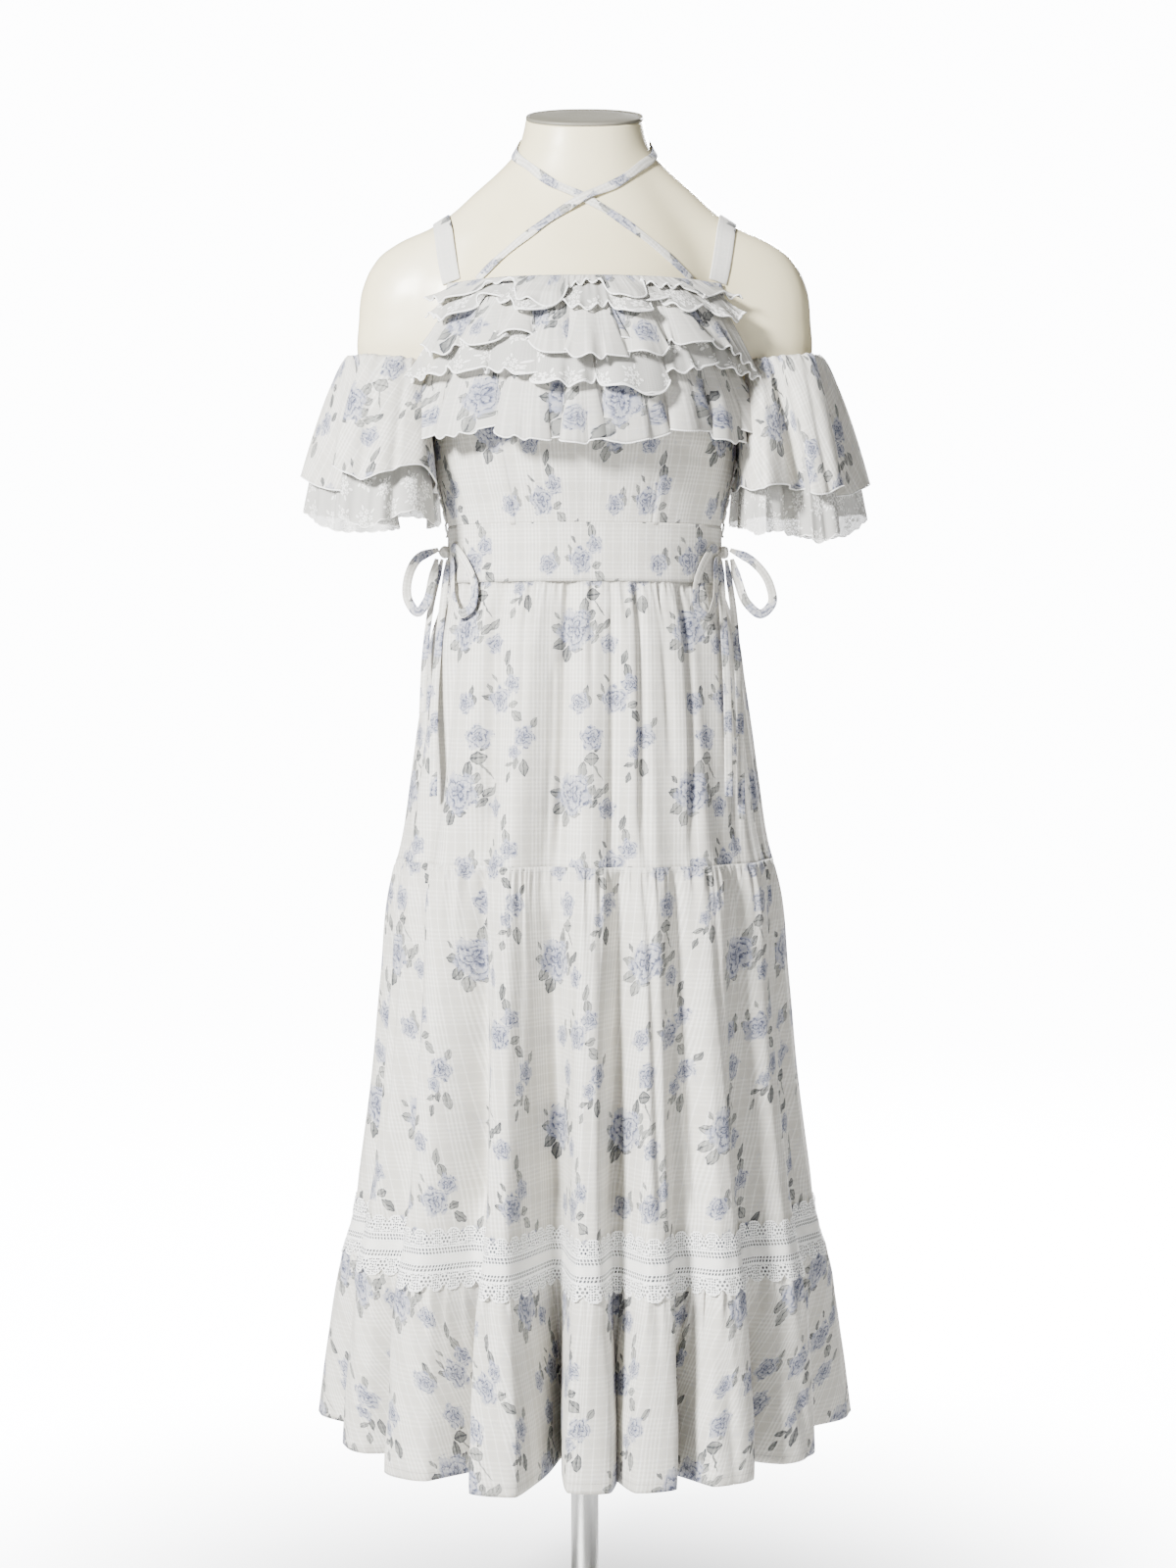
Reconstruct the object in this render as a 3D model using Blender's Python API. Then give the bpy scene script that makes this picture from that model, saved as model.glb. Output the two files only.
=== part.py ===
"""A tiered off-shoulder maxi dress, standing on a limbless dress form with a pole and a round base.

Metres. +Z is up, the front faces -Y and +X is to the right of someone who looks at the front.
The origin is the middle of the base's underside. An angle round the body is measured from the
front (0) towards +X (90 degrees). The cloth is a wall between two rows of points, each worked out
from sections of the body (half width, front depth and back depth at a height) and tables of folds.
"""
import math

import bpy
import numpy as np

# Driving dimensions
CLOTH = 0.0012
TULLE = 0.0010
SEAM_GAP = 0.0003
BODY_CLEARANCE = 0.0030

NECKLINE_Z = 1.248
BACK_NECKLINE_Z = 1.236
UNDERARM_Z = 1.134
WAISTBAND_TOP_Z = 1.032
WAISTBAND_BOTTOM_Z = 0.980
TIER_SEAM_Z = 0.729
LACE_TOP_Z = 0.425
LACE_BOTTOM_Z = 0.374
HEM_Z = 0.222
HEM_RISE_BACK = 0.010

NECKLINE_ANGLE = 67.0
BACK_NECKLINE_ANGLE = 64.0
BODICE_COLUMNS = 21
BODY_SQUARENESS = 2.2
SHOULDER_SQUARENESS = 2.8
SHOULDER_BLEND = 12.0

NECK_TILT = math.tan(math.radians(18.0))
NECK_TILT_START_Z = 1.345
FORM_BOTTOM_Z = 0.705
FORM_ROWS = (0.705, 0.720, 0.790, 0.880, 0.985, 1.060, 1.142, 1.149, 1.156, 1.167,
             1.190, 1.220, 1.250, 1.269, 1.282, 1.292, 1.303, 1.316, 1.335, 1.354, 1.369, 1.385, 1.405)
FORM_QUARTER = (4.5, 14.0, 25.0, 36.0, 47.0, 56.0, 64.0, 70.0, 76.0, 81.5, 87.0)
FORM_TOP_Z = 1.405
NECK_CAP_THICKNESS = 0.003
POLE_RADIUS = 0.0125
BASE_RADIUS = 0.175
BASE_THICKNESS = 0.012
BASE_BEVEL = 0.003

STRAP_WIDTH = 0.017
STRAP_THICKNESS = 0.0012
STRAP_LIFT = 0.0030
TIE_WIDTH = 0.009
TIE_THICKNESS = 0.0011
TIE_LIFT = 0.0019
TIE_LIFT_AT_CROSSING = 0.0026
TIE_BUMP_ANGLE = 11.0
NECK_KNOT_HALF = (0.0060, 0.0036, 0.0052)
NECK_KNOT_PLACE = (180.0, 1.386, 0.0041)
BOW_WIDTH = 0.0072
BOW_THICKNESS = 0.0016
TAIL_WIDTH = 0.0070
KNOT_HALF = (0.0052, 0.0038, 0.0062)
KNOT_LIFT = 0.0049

# Form without its shoulders: height, half width, front depth, back depth
FORM_SECTIONS = (
    (0.705, 0.134, 0.097, 0.104),
    (0.720, 0.141, 0.102, 0.112),
    (0.800, 0.145, 0.104, 0.118),
    (0.860, 0.141, 0.102, 0.113),
    (0.930, 0.129, 0.095, 0.097),
    (0.980, 0.118, 0.088, 0.083),
    (1.010, 0.1155, 0.086, 0.080),
    (1.050, 0.120, 0.092, 0.081),
    (1.100, 0.128, 0.105, 0.087),
    (1.150, 0.132, 0.117, 0.092),
    (1.200, 0.131, 0.112, 0.094),
    (1.250, 0.124, 0.097, 0.090),
    (1.290, 0.108, 0.079, 0.080),
    (1.320, 0.088, 0.066, 0.072),
    (1.345, 0.071, 0.059, 0.066),
    (1.370, 0.0605, 0.056, 0.061),
    (1.390, 0.0560, 0.0545, 0.058),
    (1.405, 0.0535, 0.0535, 0.056),
)

# Shoulders with the rounded ends of the arms, as one flat oval: height, half width, half depth
SHOULDER_SECTIONS = (
    (1.144, 0.070, 0.030),
    (1.149, 0.150, 0.036),
    (1.156, 0.184, 0.041),
    (1.167, 0.2010, 0.046),
    (1.190, 0.2070, 0.050),
    (1.217, 0.2060, 0.052),
    (1.250, 0.2020, 0.051),
    (1.270, 0.1930, 0.048),
    (1.281, 0.1840, 0.046),
    (1.292, 0.1670, 0.045),
    (1.303, 0.1420, 0.044),
    (1.314, 0.1250, 0.043),
    (1.335, 0.1010, 0.042),
    (1.357, 0.0760, 0.040),
    (1.378, 0.0560, 0.036),
    (1.405, 0.0400, 0.030),
)

# Outside of the bodice: height, half width, front depth, back depth
BODICE_SECTIONS = (
    (0.980, 0.1245, 0.0975, 0.0915),
    (1.010, 0.1238, 0.0965, 0.0900),
    (1.032, 0.1245, 0.0985, 0.0900),
    (1.060, 0.1300, 0.1070, 0.0930),
    (1.090, 0.1365, 0.1170, 0.0975),
    (1.134, 0.1392, 0.1290, 0.1020),
    (1.170, 0.1390, 0.1300, 0.1035),
    (1.200, 0.1370, 0.1250, 0.1030),
    (1.236, 0.1330, 0.1100, 0.0990),
    (1.248, 0.1310, 0.1040, 0.0975),
)

# Outside of the skirt along its ridges: height, half width, front depth, back depth
SKIRT_SECTIONS = (
    (0.222, 0.2430, 0.262, 0.258),
    (0.289, 0.2350, 0.246, 0.247),
    (0.374, 0.2200, 0.226, 0.230),
    (0.401, 0.2115, 0.216, 0.221),
    (0.445, 0.2060, 0.208, 0.214),
    (0.535, 0.1945, 0.191, 0.199),
    (0.624, 0.1865, 0.176, 0.185),
    (0.714, 0.1765, 0.161, 0.169),
    (0.736, 0.1700, 0.154, 0.163),
    (0.803, 0.1590, 0.140, 0.148),
    (0.848, 0.1530, 0.131, 0.138),
    (0.892, 0.1465, 0.122, 0.126),
    (0.937, 0.1395, 0.112, 0.112),
    (0.965, 0.1300, 0.1025, 0.099),
    (0.980, 0.1245, 0.0975, 0.0915),
)

# Folds of the skirt, in turn round the body. Each row is a ridge or the valley next to it:
# angle in degrees at the hem, then the depth in mm under the ridge line at waist, tier seam, lace and hem
FOLD_HEIGHTS = (0.222, 0.400, 0.729, 0.980)
FOLD_DRIFT = 0.36
SKIRT_FOLDS = (
    (-180.0, 2, 13, 46, 90),
    (-168.0, 0, 2, 5, 18),
    (-154.0, 2, 9, 34, 70),
    (-140.0, 0, 1, 3, 8),
    (-127.0, 2, 9, 34, 66),
    (-115.0, 0, 1, 4, 14),
    (-103.0, 1, 7, 24, 48),
    (-90.0, 0, 0, 0, 0),
    (-72.0, 1, 7, 20, 42),
    (-61.0, 0, 0, 4, 12),
    (-50.0, 2, 8, 28, 62),
    (-38.0, 0, 0, 2, 8),
    (-26.0, 2, 12, 44, 76),
    (-17.0, 0, 0, 0, 0),
    (-8.0, 3, 21, 72, 132),
    (1.0, 0, 2, 4, 20),
    (7.5, 1, 11, 42, 60),
    (14.0, 0, 1, 2, 14),
    (21.5, 1, 6, 26, 82),
    (30.0, 0, 0, 3, 10),
    (41.0, 2, 7, 26, 66),
    (53.0, 0, 1, 4, 14),
    (67.0, 1, 6, 20, 44),
    (90.0, 0, 0, 0, 0),
    (105.0, 1, 8, 28, 55),
    (119.0, 0, 1, 4, 12),
    (133.0, 2, 11, 38, 76),
    (147.0, 0, 1, 3, 10),
    (160.0, 2, 8, 30, 60),
    (171.0, 0, 1, 3, 14),
    (180.0, 2, 13, 46, 90),
)

# Pieces of the skirt: name, top, bottom, distances of the rows under the top seam, length in mm
# of cloth between two columns, least columns from a ridge to its valley, height of gathers in mm
SKIRT_PIECES = (
    ("skirt_tier1", WAISTBAND_BOTTOM_Z, TIER_SEAM_Z, (0.0, 0.018, 0.085), 60, 3, 2.2),
    ("skirt_tier2", TIER_SEAM_Z, LACE_TOP_Z, (0.0, 0.020, 0.110), 26, 3, 3.4),
    ("lace_band", LACE_TOP_Z, LACE_BOTTOM_Z, (0.0,), 26, 3, 0.0),
    ("flounce", LACE_BOTTOM_Z, HEM_Z, (0.0, 0.018, 0.070), 22, 3, 3.4),
)
GATHER_REACH = 0.020
COLUMNS_PER_GATHER = 4

# Ruffles from the innermost out: name, sewing line, lower edge, end angle at both, distance from
# the bodice in mm at both, waves, their height in mm, phase in turns, wall
RUFFLES = (
    ("ruffle_5", 1.180, 1.113, 67.5, 71.5, 1.6, 17.0, 9, 8.5, 0.10, CLOTH),
    ("ruffle_4", 1.230, 1.155, 62.0, 69.0, 1.7, 18.0, 10, 7.5, 0.45, TULLE),
    ("ruffle_3", 1.236, 1.183, 61.5, 64.5, 2.6, 18.0, 10, 7.5, 0.20, CLOTH),
    ("ruffle_2", 1.241, 1.221, 61.5, 65.0, 2.2, 14.0, 12, 4.5, 0.60, TULLE),
    ("ruffle_1", 1.247, 1.232, 61.5, 66.0, 2.3, 13.0, 11, 4.5, 0.35, CLOTH),
)
RUFFLE_COLUMNS = 49
RUFFLE_STEPS = (0.0, 0.45, 1.0)
RUFFLE_LAYER_GAP = 0.0026
RUFFLE_EDGE_DIP = 0.004

# Sleeves, from the top edge (0) to the hem (1): position, centre x, half width, half depth,
# height of the folds in mm
SLEEVE_SECTIONS = (
    (0.00, 0.1775, 0.0379, 0.0525, 0.3),
    (0.15, 0.1800, 0.0395, 0.0560, 2.0),
    (0.50, 0.1880, 0.0475, 0.0720, 6.0),
    (1.00, 0.1965, 0.0560, 0.0900, 9.5),
)
SLEEVE_TOP_Z = 1.187
SLEEVE_TOP_DIP = 0.053
SLEEVE_FOLDS = 7
SLEEVE_COLUMNS = 38
# Layers: name, first and last position, hem height, share of the outer layer's width at both
SLEEVE_LAYERS = (
    ("sleeve", 0.0, 1.0, 1.074, 1.0, 1.0, (0.0, 0.16, 0.55, 1.0), CLOTH),
    ("sleeve_lace", 0.25, 1.0, 1.036, 0.96, 0.93, (0.0, 0.5, 1.0), TULLE),
)

# A strap goes over the shoulder round a point inside it: turn from the front, x
STRAP_PIVOT_Z = 1.215
STRAP_ROUTE = ((34.0, 0.1185), (50.0, 0.1225), (90.0, 0.1300), (130.0, 0.1230),
               (157.0, 0.1125))
STRAP_POINTS = 17
# A halter tie lies on the form: angle, height on the form
TIE_ROUTE = ((-54.0, 1.2490), (-42.0, 1.274), (-24.0, 1.301), (0.0, 1.3215), (26.0, 1.336),
             (56.0, 1.359), (90.0, 1.379), (130.0, 1.386), (174.0, 1.386))
NECK_TAIL_ROUTES = {
    "neck_tail_left": ((184.0, 1.3825), (188.0, 1.350), (190.0, 1.310), (190.0, 1.262)),
    "neck_tail_right": ((176.0, 1.3825), (172.0, 1.350), (169.0, 1.310), (168.0, 1.250)),
}

# Bow parts as seen from the front: x and z of the middle line. The outer loop stands out to the
# side at the knot's depth. The front loop and the tails leave the knot and lie on the cloth
KNOTS = {"left": (-0.1265, 1.0090), "right": (0.1255, 1.0085)}
OUTER_LOOPS = {
    "left": ((-0.1322, 1.0115), (-0.1510, 1.0030), (-0.1600, 0.9850), (-0.1590, 0.9640),
             (-0.1510, 0.9545), (-0.1430, 0.9640), (-0.1380, 0.9830), (-0.1337, 1.0030)),
    "right": ((0.1312, 1.0110), (0.1510, 1.0010), (0.1670, 0.9800), (0.1690, 0.9620),
              (0.1590, 0.9530), (0.1470, 0.9620), (0.1385, 0.9820), (0.1328, 1.0025)),
}
FRONT_LOOPS = {
    "left": ((-0.1150, 1.0105), (-0.1055, 0.9970), (-0.0975, 0.9750), (-0.1005, 0.9570),
             (-0.1090, 0.9520), (-0.1160, 0.9620), (-0.1185, 0.9830), (-0.1188, 0.9990)),
    "right": ((0.1140, 1.0100), (0.1060, 0.9970), (0.0990, 0.9740), (0.1010, 0.9545),
              (0.1085, 0.9490), (0.1150, 0.9600), (0.1175, 0.9820), (0.1180, 0.9980)),
}
BOW_TAILS = {
    "left": (((-0.1385, 0.9650), (-0.1435, 0.9200), (-0.1450, 0.8640)),
             ((-0.1275, 0.9600), (-0.1325, 0.8900), (-0.1330, 0.7910))),
    "right": (((0.1235, 0.9600), (0.1260, 0.8900), (0.1265, 0.7910)),
              ((0.1345, 0.9550), (0.1375, 0.8800), (0.1380, 0.7710))),
}
# Where a front loop leaves the knot and comes back to it, and where the tails leave it: x away
# from the side, y, z from the knot's middle
LOOP_STARTS = ((0.0050, -0.0036, 0.0022), (0.0050, -0.0036, -0.0034))
TAIL_STARTS = ((-0.0024, 0.0012, -0.0064), (0.0026, 0.0008, -0.0064))
BOW_TAPER = 0.014
BOW_NARROW = 0.45
LOOP_LIFT = 0.0040
TAIL_LIFT = 0.0019
TAIL_SIDE_Y = -0.014
LOOP_POINTS = 17
TAIL_POINTS = 12

# Side lacing: a lace that zigzags over the side seam between two tapes of small loops
LACING_TOP_Z = 1.092
LACING_BOTTOM_Z = 1.024
LACING_TURNS = 6
LACING_HALF_WIDTH = 0.0095
LACING_LIFT = 0.0016
LACING_WIDTH = 0.0034
LACING_THICKNESS = 0.0012
TAPE_DISTANCE = 0.0136
TAPE_LIFT = 0.0010
TAPE_WIDTH = 0.0034
TAPE_THICKNESS = 0.0012
TAPE_POINTS = 13


def remove_all_objects():
    for item in list(bpy.data.objects):
        bpy.data.objects.remove(item, do_unlink=True)


def make_material(name, colour, roughness, metallic=0.0):
    material = bpy.data.materials.new(name)
    material.use_nodes = True
    shader = material.node_tree.nodes["Principled BSDF"]
    shader.inputs["Base Color"].default_value = (*colour, 1.0)
    shader.inputs["Roughness"].default_value = roughness
    shader.inputs["Metallic"].default_value = metallic
    material.diffuse_color = (*colour, 1.0)
    return material


def smooth_curve(places, values, at):
    """Cubic through the values, with each point's slope taken from its neighbours."""
    places = np.asarray(places, float)
    values = np.asarray(values, float)
    at = np.clip(np.asarray(at, float), places[0], places[-1])
    steps = np.diff(places)
    rises = (np.diff(values, axis=0).T / steps).T
    slopes = np.empty_like(values)
    slopes[0] = rises[0]
    slopes[-1] = rises[-1]
    before = (steps[1:] / (steps[1:] + steps[:-1])).reshape(-1, *([1] * (values.ndim - 1)))
    slopes[1:-1] = rises[:-1] * before + rises[1:] * (1.0 - before)
    row = np.clip(np.searchsorted(places, at, side="right") - 1, 0, len(places) - 2)
    part = (at - places[row]) / steps[row]
    step = steps[row]
    if values.ndim > 1:
        part = part[..., None]
        step = step[..., None]
    square = part * part
    cube = square * part
    return ((2 * cube - 3 * square + 1) * values[row] + (cube - 2 * square + part) * step * slopes[row]
            + (3 * square - 2 * cube) * values[row + 1] + (cube - square) * step * slopes[row + 1])


def section_at(sections, height):
    """The columns of a table of sections at any height, as arrays."""
    table = np.array(sections)
    found = smooth_curve(table[:, 0], table[:, 1:], height)
    return [found[..., column] for column in range(found.shape[-1])]


def oval_radius(angle, half_width, front, back, squareness):
    """Distance from the axis to a rounded oval, in the direction of the angle."""
    across = np.abs(np.sin(angle)) / half_width
    depth = np.where(np.cos(angle) > 0.0, front, back)
    along = np.abs(np.cos(angle)) / depth
    return (across ** squareness + along ** squareness) ** (-1.0 / squareness)


def polar_points(angle, radius, height):
    angle, radius, height = np.broadcast_arrays(angle, radius, height)
    return np.stack([radius * np.sin(angle), -radius * np.cos(angle), height], axis=-1)


def form_radius(angle, height):
    """Body and shoulders, blended where they meet."""
    half_width, front, back = section_at(FORM_SECTIONS, height)
    body = oval_radius(angle, half_width, front, back, BODY_SQUARENESS)
    wide, deep = section_at(SHOULDER_SECTIONS, height)
    shoulders = oval_radius(angle, wide, deep, deep, SHOULDER_SQUARENESS)
    shoulders = np.where(height < SHOULDER_SECTIONS[0][0], 0.0, shoulders)
    return (body ** SHOULDER_BLEND + shoulders ** SHOULDER_BLEND) ** (1.0 / SHOULDER_BLEND)


def form_points(angle, height):
    """Points on the form. The neck leans, so its top slopes down to the front."""
    points = polar_points(angle, form_radius(angle, height), height)
    share = np.clip((height - NECK_TILT_START_Z) / (FORM_TOP_Z - NECK_TILT_START_Z), 0.0, 1.0)
    points[..., 2] += share * share * NECK_TILT * points[..., 1]
    return points


def bodice_radius(angle, height):
    """Outside of the bodice, kept clear of the form at the chest and the armholes."""
    half_width, front, back = section_at(BODICE_SECTIONS, height)
    own = oval_radius(angle, half_width, front, back, BODY_SQUARENESS)
    return np.maximum(own, form_radius(angle, height) + BODY_CLEARANCE + CLOTH)


def skirt_ridge_radius(angle, height):
    half_width, front, back = section_at(SKIRT_SECTIONS, height)
    return oval_radius(angle, half_width, front, back, BODY_SQUARENESS)


def fold_depth(angle, height):
    """Depth under the ridge line: each ridge runs into the next valley along half a cosine wave."""
    table = np.array(SKIRT_FOLDS)
    turns = np.radians(table[:, 0])
    row = np.clip(np.searchsorted(turns, angle, side="right") - 1, 0, len(turns) - 2)
    part = np.clip((angle - turns[row]) / (turns[row + 1] - turns[row]), 0.0, 1.0)
    part = 0.5 - 0.5 * np.cos(np.pi * part)
    columns = table[:, :0:-1] * 0.001
    mixed = columns[row] * (1.0 - part[..., None]) + columns[row + 1] * part[..., None]
    place = np.interp(height, FOLD_HEIGHTS, np.arange(len(FOLD_HEIGHTS)))
    low = np.clip(place.astype(int), 0, len(FOLD_HEIGHTS) - 2)
    share = place - low
    lower = np.take_along_axis(mixed, low[..., None], axis=-1)[..., 0]
    upper = np.take_along_axis(mixed, low[..., None] + 1, axis=-1)[..., 0]
    return lower * (1.0 - share) + upper * share


def fold_turn(angle, height):
    """A fold hangs nearly straight down, so higher up it lies further round than its angle at the hem:
    the angle in the table is the angle less a share of its double's sine that grows with the height."""
    rise = FOLD_HEIGHTS[2] - FOLD_HEIGHTS[0]
    share = np.clip((height - FOLD_HEIGHTS[0]) / rise, 0.0, 1.0) ** 0.8
    return angle - 0.5 * FOLD_DRIFT * share * np.sin(2.0 * angle)


def fold_place(turn, height):
    """The angle at which a ridge or valley of the table lies at one height."""
    every = np.linspace(-np.pi, 2.0 * np.pi, 1081)
    return np.interp(turn, fold_turn(every, height), every)


def skirt_radius(angle, height):
    """Skirt without its gathers: the ridge line less the depth of the folds."""
    inside = (angle + np.pi) % (2.0 * np.pi) - np.pi
    return skirt_ridge_radius(angle, height) - fold_depth(fold_turn(inside, height), height)


def half_turns(half):
    """Angles of the ridges and valleys of one half, from one side seam to the other."""
    turns = np.array(SKIRT_FOLDS)[:, 0]
    if half == "front":
        return np.radians(turns[(turns >= -90.0) & (turns <= 90.0)])
    left_back = turns[(turns > -180.0) & (turns <= -90.0)] + 360.0
    return np.radians(np.concatenate([turns[turns >= 90.0], left_back]))


def cloth_line(first, last, height):
    """Finely spaced angles from a ridge to its valley, with the length of cloth up to each."""
    fine = fold_place(np.linspace(first, last, 40), height)
    curve = polar_points(fine, skirt_radius(fine, np.full_like(fine, height)), 0.0)
    run = np.cumsum(np.linalg.norm(np.diff(curve, axis=0), axis=1))
    return fine, np.concatenate([[0.0], run])


def column_counts(turns, height, spacing, least):
    """Number of columns between each ridge and its valley, by the length of cloth there."""
    counts = []
    for first, last in zip(turns[:-1], turns[1:]):
        run = cloth_line(first, last, height)[1][-1]
        counts.append(max(least, round(run / spacing)))
    return counts


def column_angles(turns, height, counts):
    """Angles of all columns at one height, evenly spaced along the cloth of each fold."""
    angles = [turns[:1]]
    for first, last, count in zip(turns[:-1], turns[1:], counts):
        fine, run = cloth_line(first, last, height)
        angles.append(np.interp(np.linspace(0.0, run[-1], count + 1)[1:], run, fine))
    return np.concatenate(angles)


def grid_normals(grid, closed, level, square_ends):
    """Unit normals of a grid of points, rows upwards and columns with the angle. Square ends make
    the wall's two end faces flat, where one half meets the other at the side seams."""
    if closed:
        along = np.roll(grid, -1, axis=1) - np.roll(grid, 1, axis=1)
    else:
        along = np.gradient(grid, axis=1)
    up = np.gradient(grid, axis=0)
    normals = np.cross(along, up)
    if level:
        normals[..., 2] = 0.0
    if square_ends:
        normals[:, (0, -1), 1] = 0.0
    return normals / np.linalg.norm(normals, axis=-1, keepdims=True)


def closed_shell(outer, inner, closed):
    """Corner points and triangles of the solid between two grids of points."""
    rows, columns = outer.shape[:2]
    points = np.concatenate([outer.reshape(-1, 3), inner.reshape(-1, 3)])
    number = np.arange(rows * columns).reshape(rows, columns)
    if closed:
        number = np.concatenate([number, number[:, :1]], axis=1)
    behind = number + rows * columns

    def strip(first, second):
        lower_left, lower_right = first[:-1], first[1:]
        upper_left, upper_right = second[:-1], second[1:]
        return [np.stack([lower_left, lower_right, upper_right], axis=1),
                np.stack([lower_left, upper_right, upper_left], axis=1)]

    faces = []
    for row in range(rows - 1):
        faces += strip(number[row], number[row + 1])
        faces += [face[:, ::-1] for face in strip(behind[row], behind[row + 1])]
    faces += [face[:, ::-1] for face in strip(number[0], behind[0])]
    faces += strip(number[-1], behind[-1])
    if not closed:
        faces += strip(number[:, 0], behind[:, 0])
        faces += [face[:, ::-1] for face in strip(number[:, -1], behind[:, -1])]
    return points, np.concatenate(faces)


def outward_volume(points, faces):
    a, b, c = points[faces[:, 0]], points[faces[:, 1]], points[faces[:, 2]]
    return float(np.einsum("ij,ij->i", a, np.cross(b, c)).sum()) / 6.0


def add_object(name, points, faces, material, smooth=True):
    if outward_volume(points, faces) < 0.0:
        faces = faces[:, ::-1]
    mesh = bpy.data.meshes.new(name)
    mesh.from_pydata(points.tolist(), [], faces.tolist())
    mesh.update()
    if smooth:
        mesh.shade_smooth()
        mesh.set_sharp_from_angle(angle=math.radians(50.0))
    mesh.materials.append(material)
    item = bpy.data.objects.new(name, mesh)
    bpy.context.scene.collection.objects.link(item)
    return item


def add_wall(name, outer, thickness, material, closed=False, level=True, square_ends=False):
    """A cloth wall whose outer face is the grid."""
    inner = outer - grid_normals(outer, closed, level, square_ends) * thickness
    points, faces = closed_shell(outer, inner, closed)
    return add_object(name, points, faces, material)


def add_turned(name, profile, sides, material):
    """A round piece turned about the vertical axis, from a profile of radius and height."""
    angle = np.linspace(0.0, 2.0 * np.pi, sides, endpoint=False)
    rings = [polar_points(angle, radius, height) for radius, height in profile]
    return add_loft(name, rings, material)


def loft_mesh(rings):
    """A closed body through rings, each end filled by a fan round its middle."""
    sides = len(rings[0])
    middle_first = rings[0].mean(axis=0)
    middle_last = rings[-1].mean(axis=0)
    points = np.concatenate(rings + [middle_first[None], middle_last[None]])
    this = np.arange(sides)
    following = (this + 1) % sides
    faces = []
    for row in range(len(rings) - 1):
        low = row * sides
        high = low + sides
        faces.append(np.stack([this + low, following + low, following + high], axis=1))
        faces.append(np.stack([this + low, following + high, this + high], axis=1))
    first = len(points) - 2
    last = len(points) - 1
    top = (len(rings) - 1) * sides
    faces.append(np.stack([np.full(sides, first), following, this], axis=1))
    faces.append(np.stack([np.full(sides, last), this + top, following + top], axis=1))
    return points, np.concatenate(faces)


def add_loft(name, rings, material):
    points, faces = loft_mesh(rings)
    return add_object(name, points, faces, material)


def add_band(name, middle, across, facing, width, thickness, material):
    """A flat band along a line: across points along its width, facing along its thickness."""
    side = across / np.linalg.norm(across, axis=1, keepdims=True)
    side = side * 0.5 * np.broadcast_to(width, len(middle))[:, None]
    depth = facing / np.linalg.norm(facing, axis=1, keepdims=True) * (0.5 * thickness)
    corners = ((1.0, 1.0), (-1.0, 1.0), (-1.0, -1.0), (1.0, -1.0))
    rings = [np.array([point + a * w + b * d for a, b in corners])
             for point, w, d in zip(middle, side, depth)]
    return add_loft(name, rings, material)


def narrowed(middle, width, both_ends):
    """Widths of a ribbon that is drawn together where it leaves a knot."""
    run = np.concatenate([[0.0], np.cumsum(np.linalg.norm(np.diff(middle, axis=0), axis=1))])
    near = np.minimum(run, run[-1] - run) if both_ends else run
    return width * (BOW_NARROW + (1.0 - BOW_NARROW) * np.clip(near / BOW_TAPER, 0.0, 1.0))


def surface_route(surface, route, count, lift):
    """A line over a surface through rows of angle and height, with its sideways direction."""
    table = np.array(route)
    chord = polar_points(np.radians(table[:, 0]), 0.12, table[:, 1])
    place = np.concatenate([[0.0], np.cumsum(np.linalg.norm(np.diff(chord, axis=0), axis=1))])
    at = np.linspace(0.0, place[-1], count)
    both = smooth_curve(place, table, at)
    angle = np.radians(both[:, 0])
    height = both[:, 1]
    small = 0.0015
    point = surface(angle, height)
    along_angle = surface(angle + small / 0.1, height) - surface(angle - small / 0.1, height)
    along_height = surface(angle, height + small) - surface(angle, height - small)
    facing = np.cross(along_angle, along_height)
    facing /= np.linalg.norm(facing, axis=1, keepdims=True)
    middle = point + facing * np.asarray(lift).reshape(-1, 1)
    across = np.cross(np.gradient(middle, axis=0), facing)
    return middle, across, facing


def make_form(shell, cap_finish, metal):
    """Torso with shoulders and rounded arm ends, neck cap, pole and base."""
    quarter = np.array(FORM_QUARTER)
    angle = np.radians(np.concatenate([quarter, 180.0 - quarter[::-1], 180.0 + quarter,
                                       360.0 - quarter[::-1]]))
    rings = [form_points(angle, np.full_like(angle, height)) for height in FORM_ROWS]
    add_loft("form_torso", rings, shell)
    top = rings[-1]
    lean = np.array([0.0, -NECK_TILT, 1.0]) / math.hypot(1.0, NECK_TILT)
    middle = top.mean(axis=0)
    rim = [middle + (top - middle) * share + lean * rise
           for share, rise in ((1.0, SEAM_GAP), (1.0, SEAM_GAP + NECK_CAP_THICKNESS - 0.0008),
                               (0.975, SEAM_GAP + NECK_CAP_THICKNESS))]
    add_loft("form_neck_cap", rim, cap_finish)
    add_turned("form_pole", ((POLE_RADIUS, BASE_THICKNESS + SEAM_GAP),
                             (POLE_RADIUS, FORM_BOTTOM_Z - SEAM_GAP)), 24, metal)
    add_turned("form_base", ((BASE_RADIUS, 0.0), (BASE_RADIUS, BASE_THICKNESS - BASE_BEVEL),
                             (BASE_RADIUS - BASE_BEVEL, BASE_THICKNESS)), 48, metal)


def panel_limit(height, top, top_angle):
    """Angle at which a bodice panel ends: the side seam, then the armhole up to the neckline."""
    share = np.clip((height - UNDERARM_Z) / (top - UNDERARM_Z), 0.0, 1.0)
    ease = 1.0 - (1.0 - np.clip(share / 0.22, 0.0, 1.0)) ** 2.0
    return np.radians(90.0 + (top_angle - 90.0) * ease)


def draw_back_ends(grid, half, rows):
    """Sets the ends of the given rows at the side seams, half a gap before the middle plane."""
    grid[:rows, (0, -1), 1] = -0.5 * SEAM_GAP if half == "front" else 0.5 * SEAM_GAP


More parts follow.
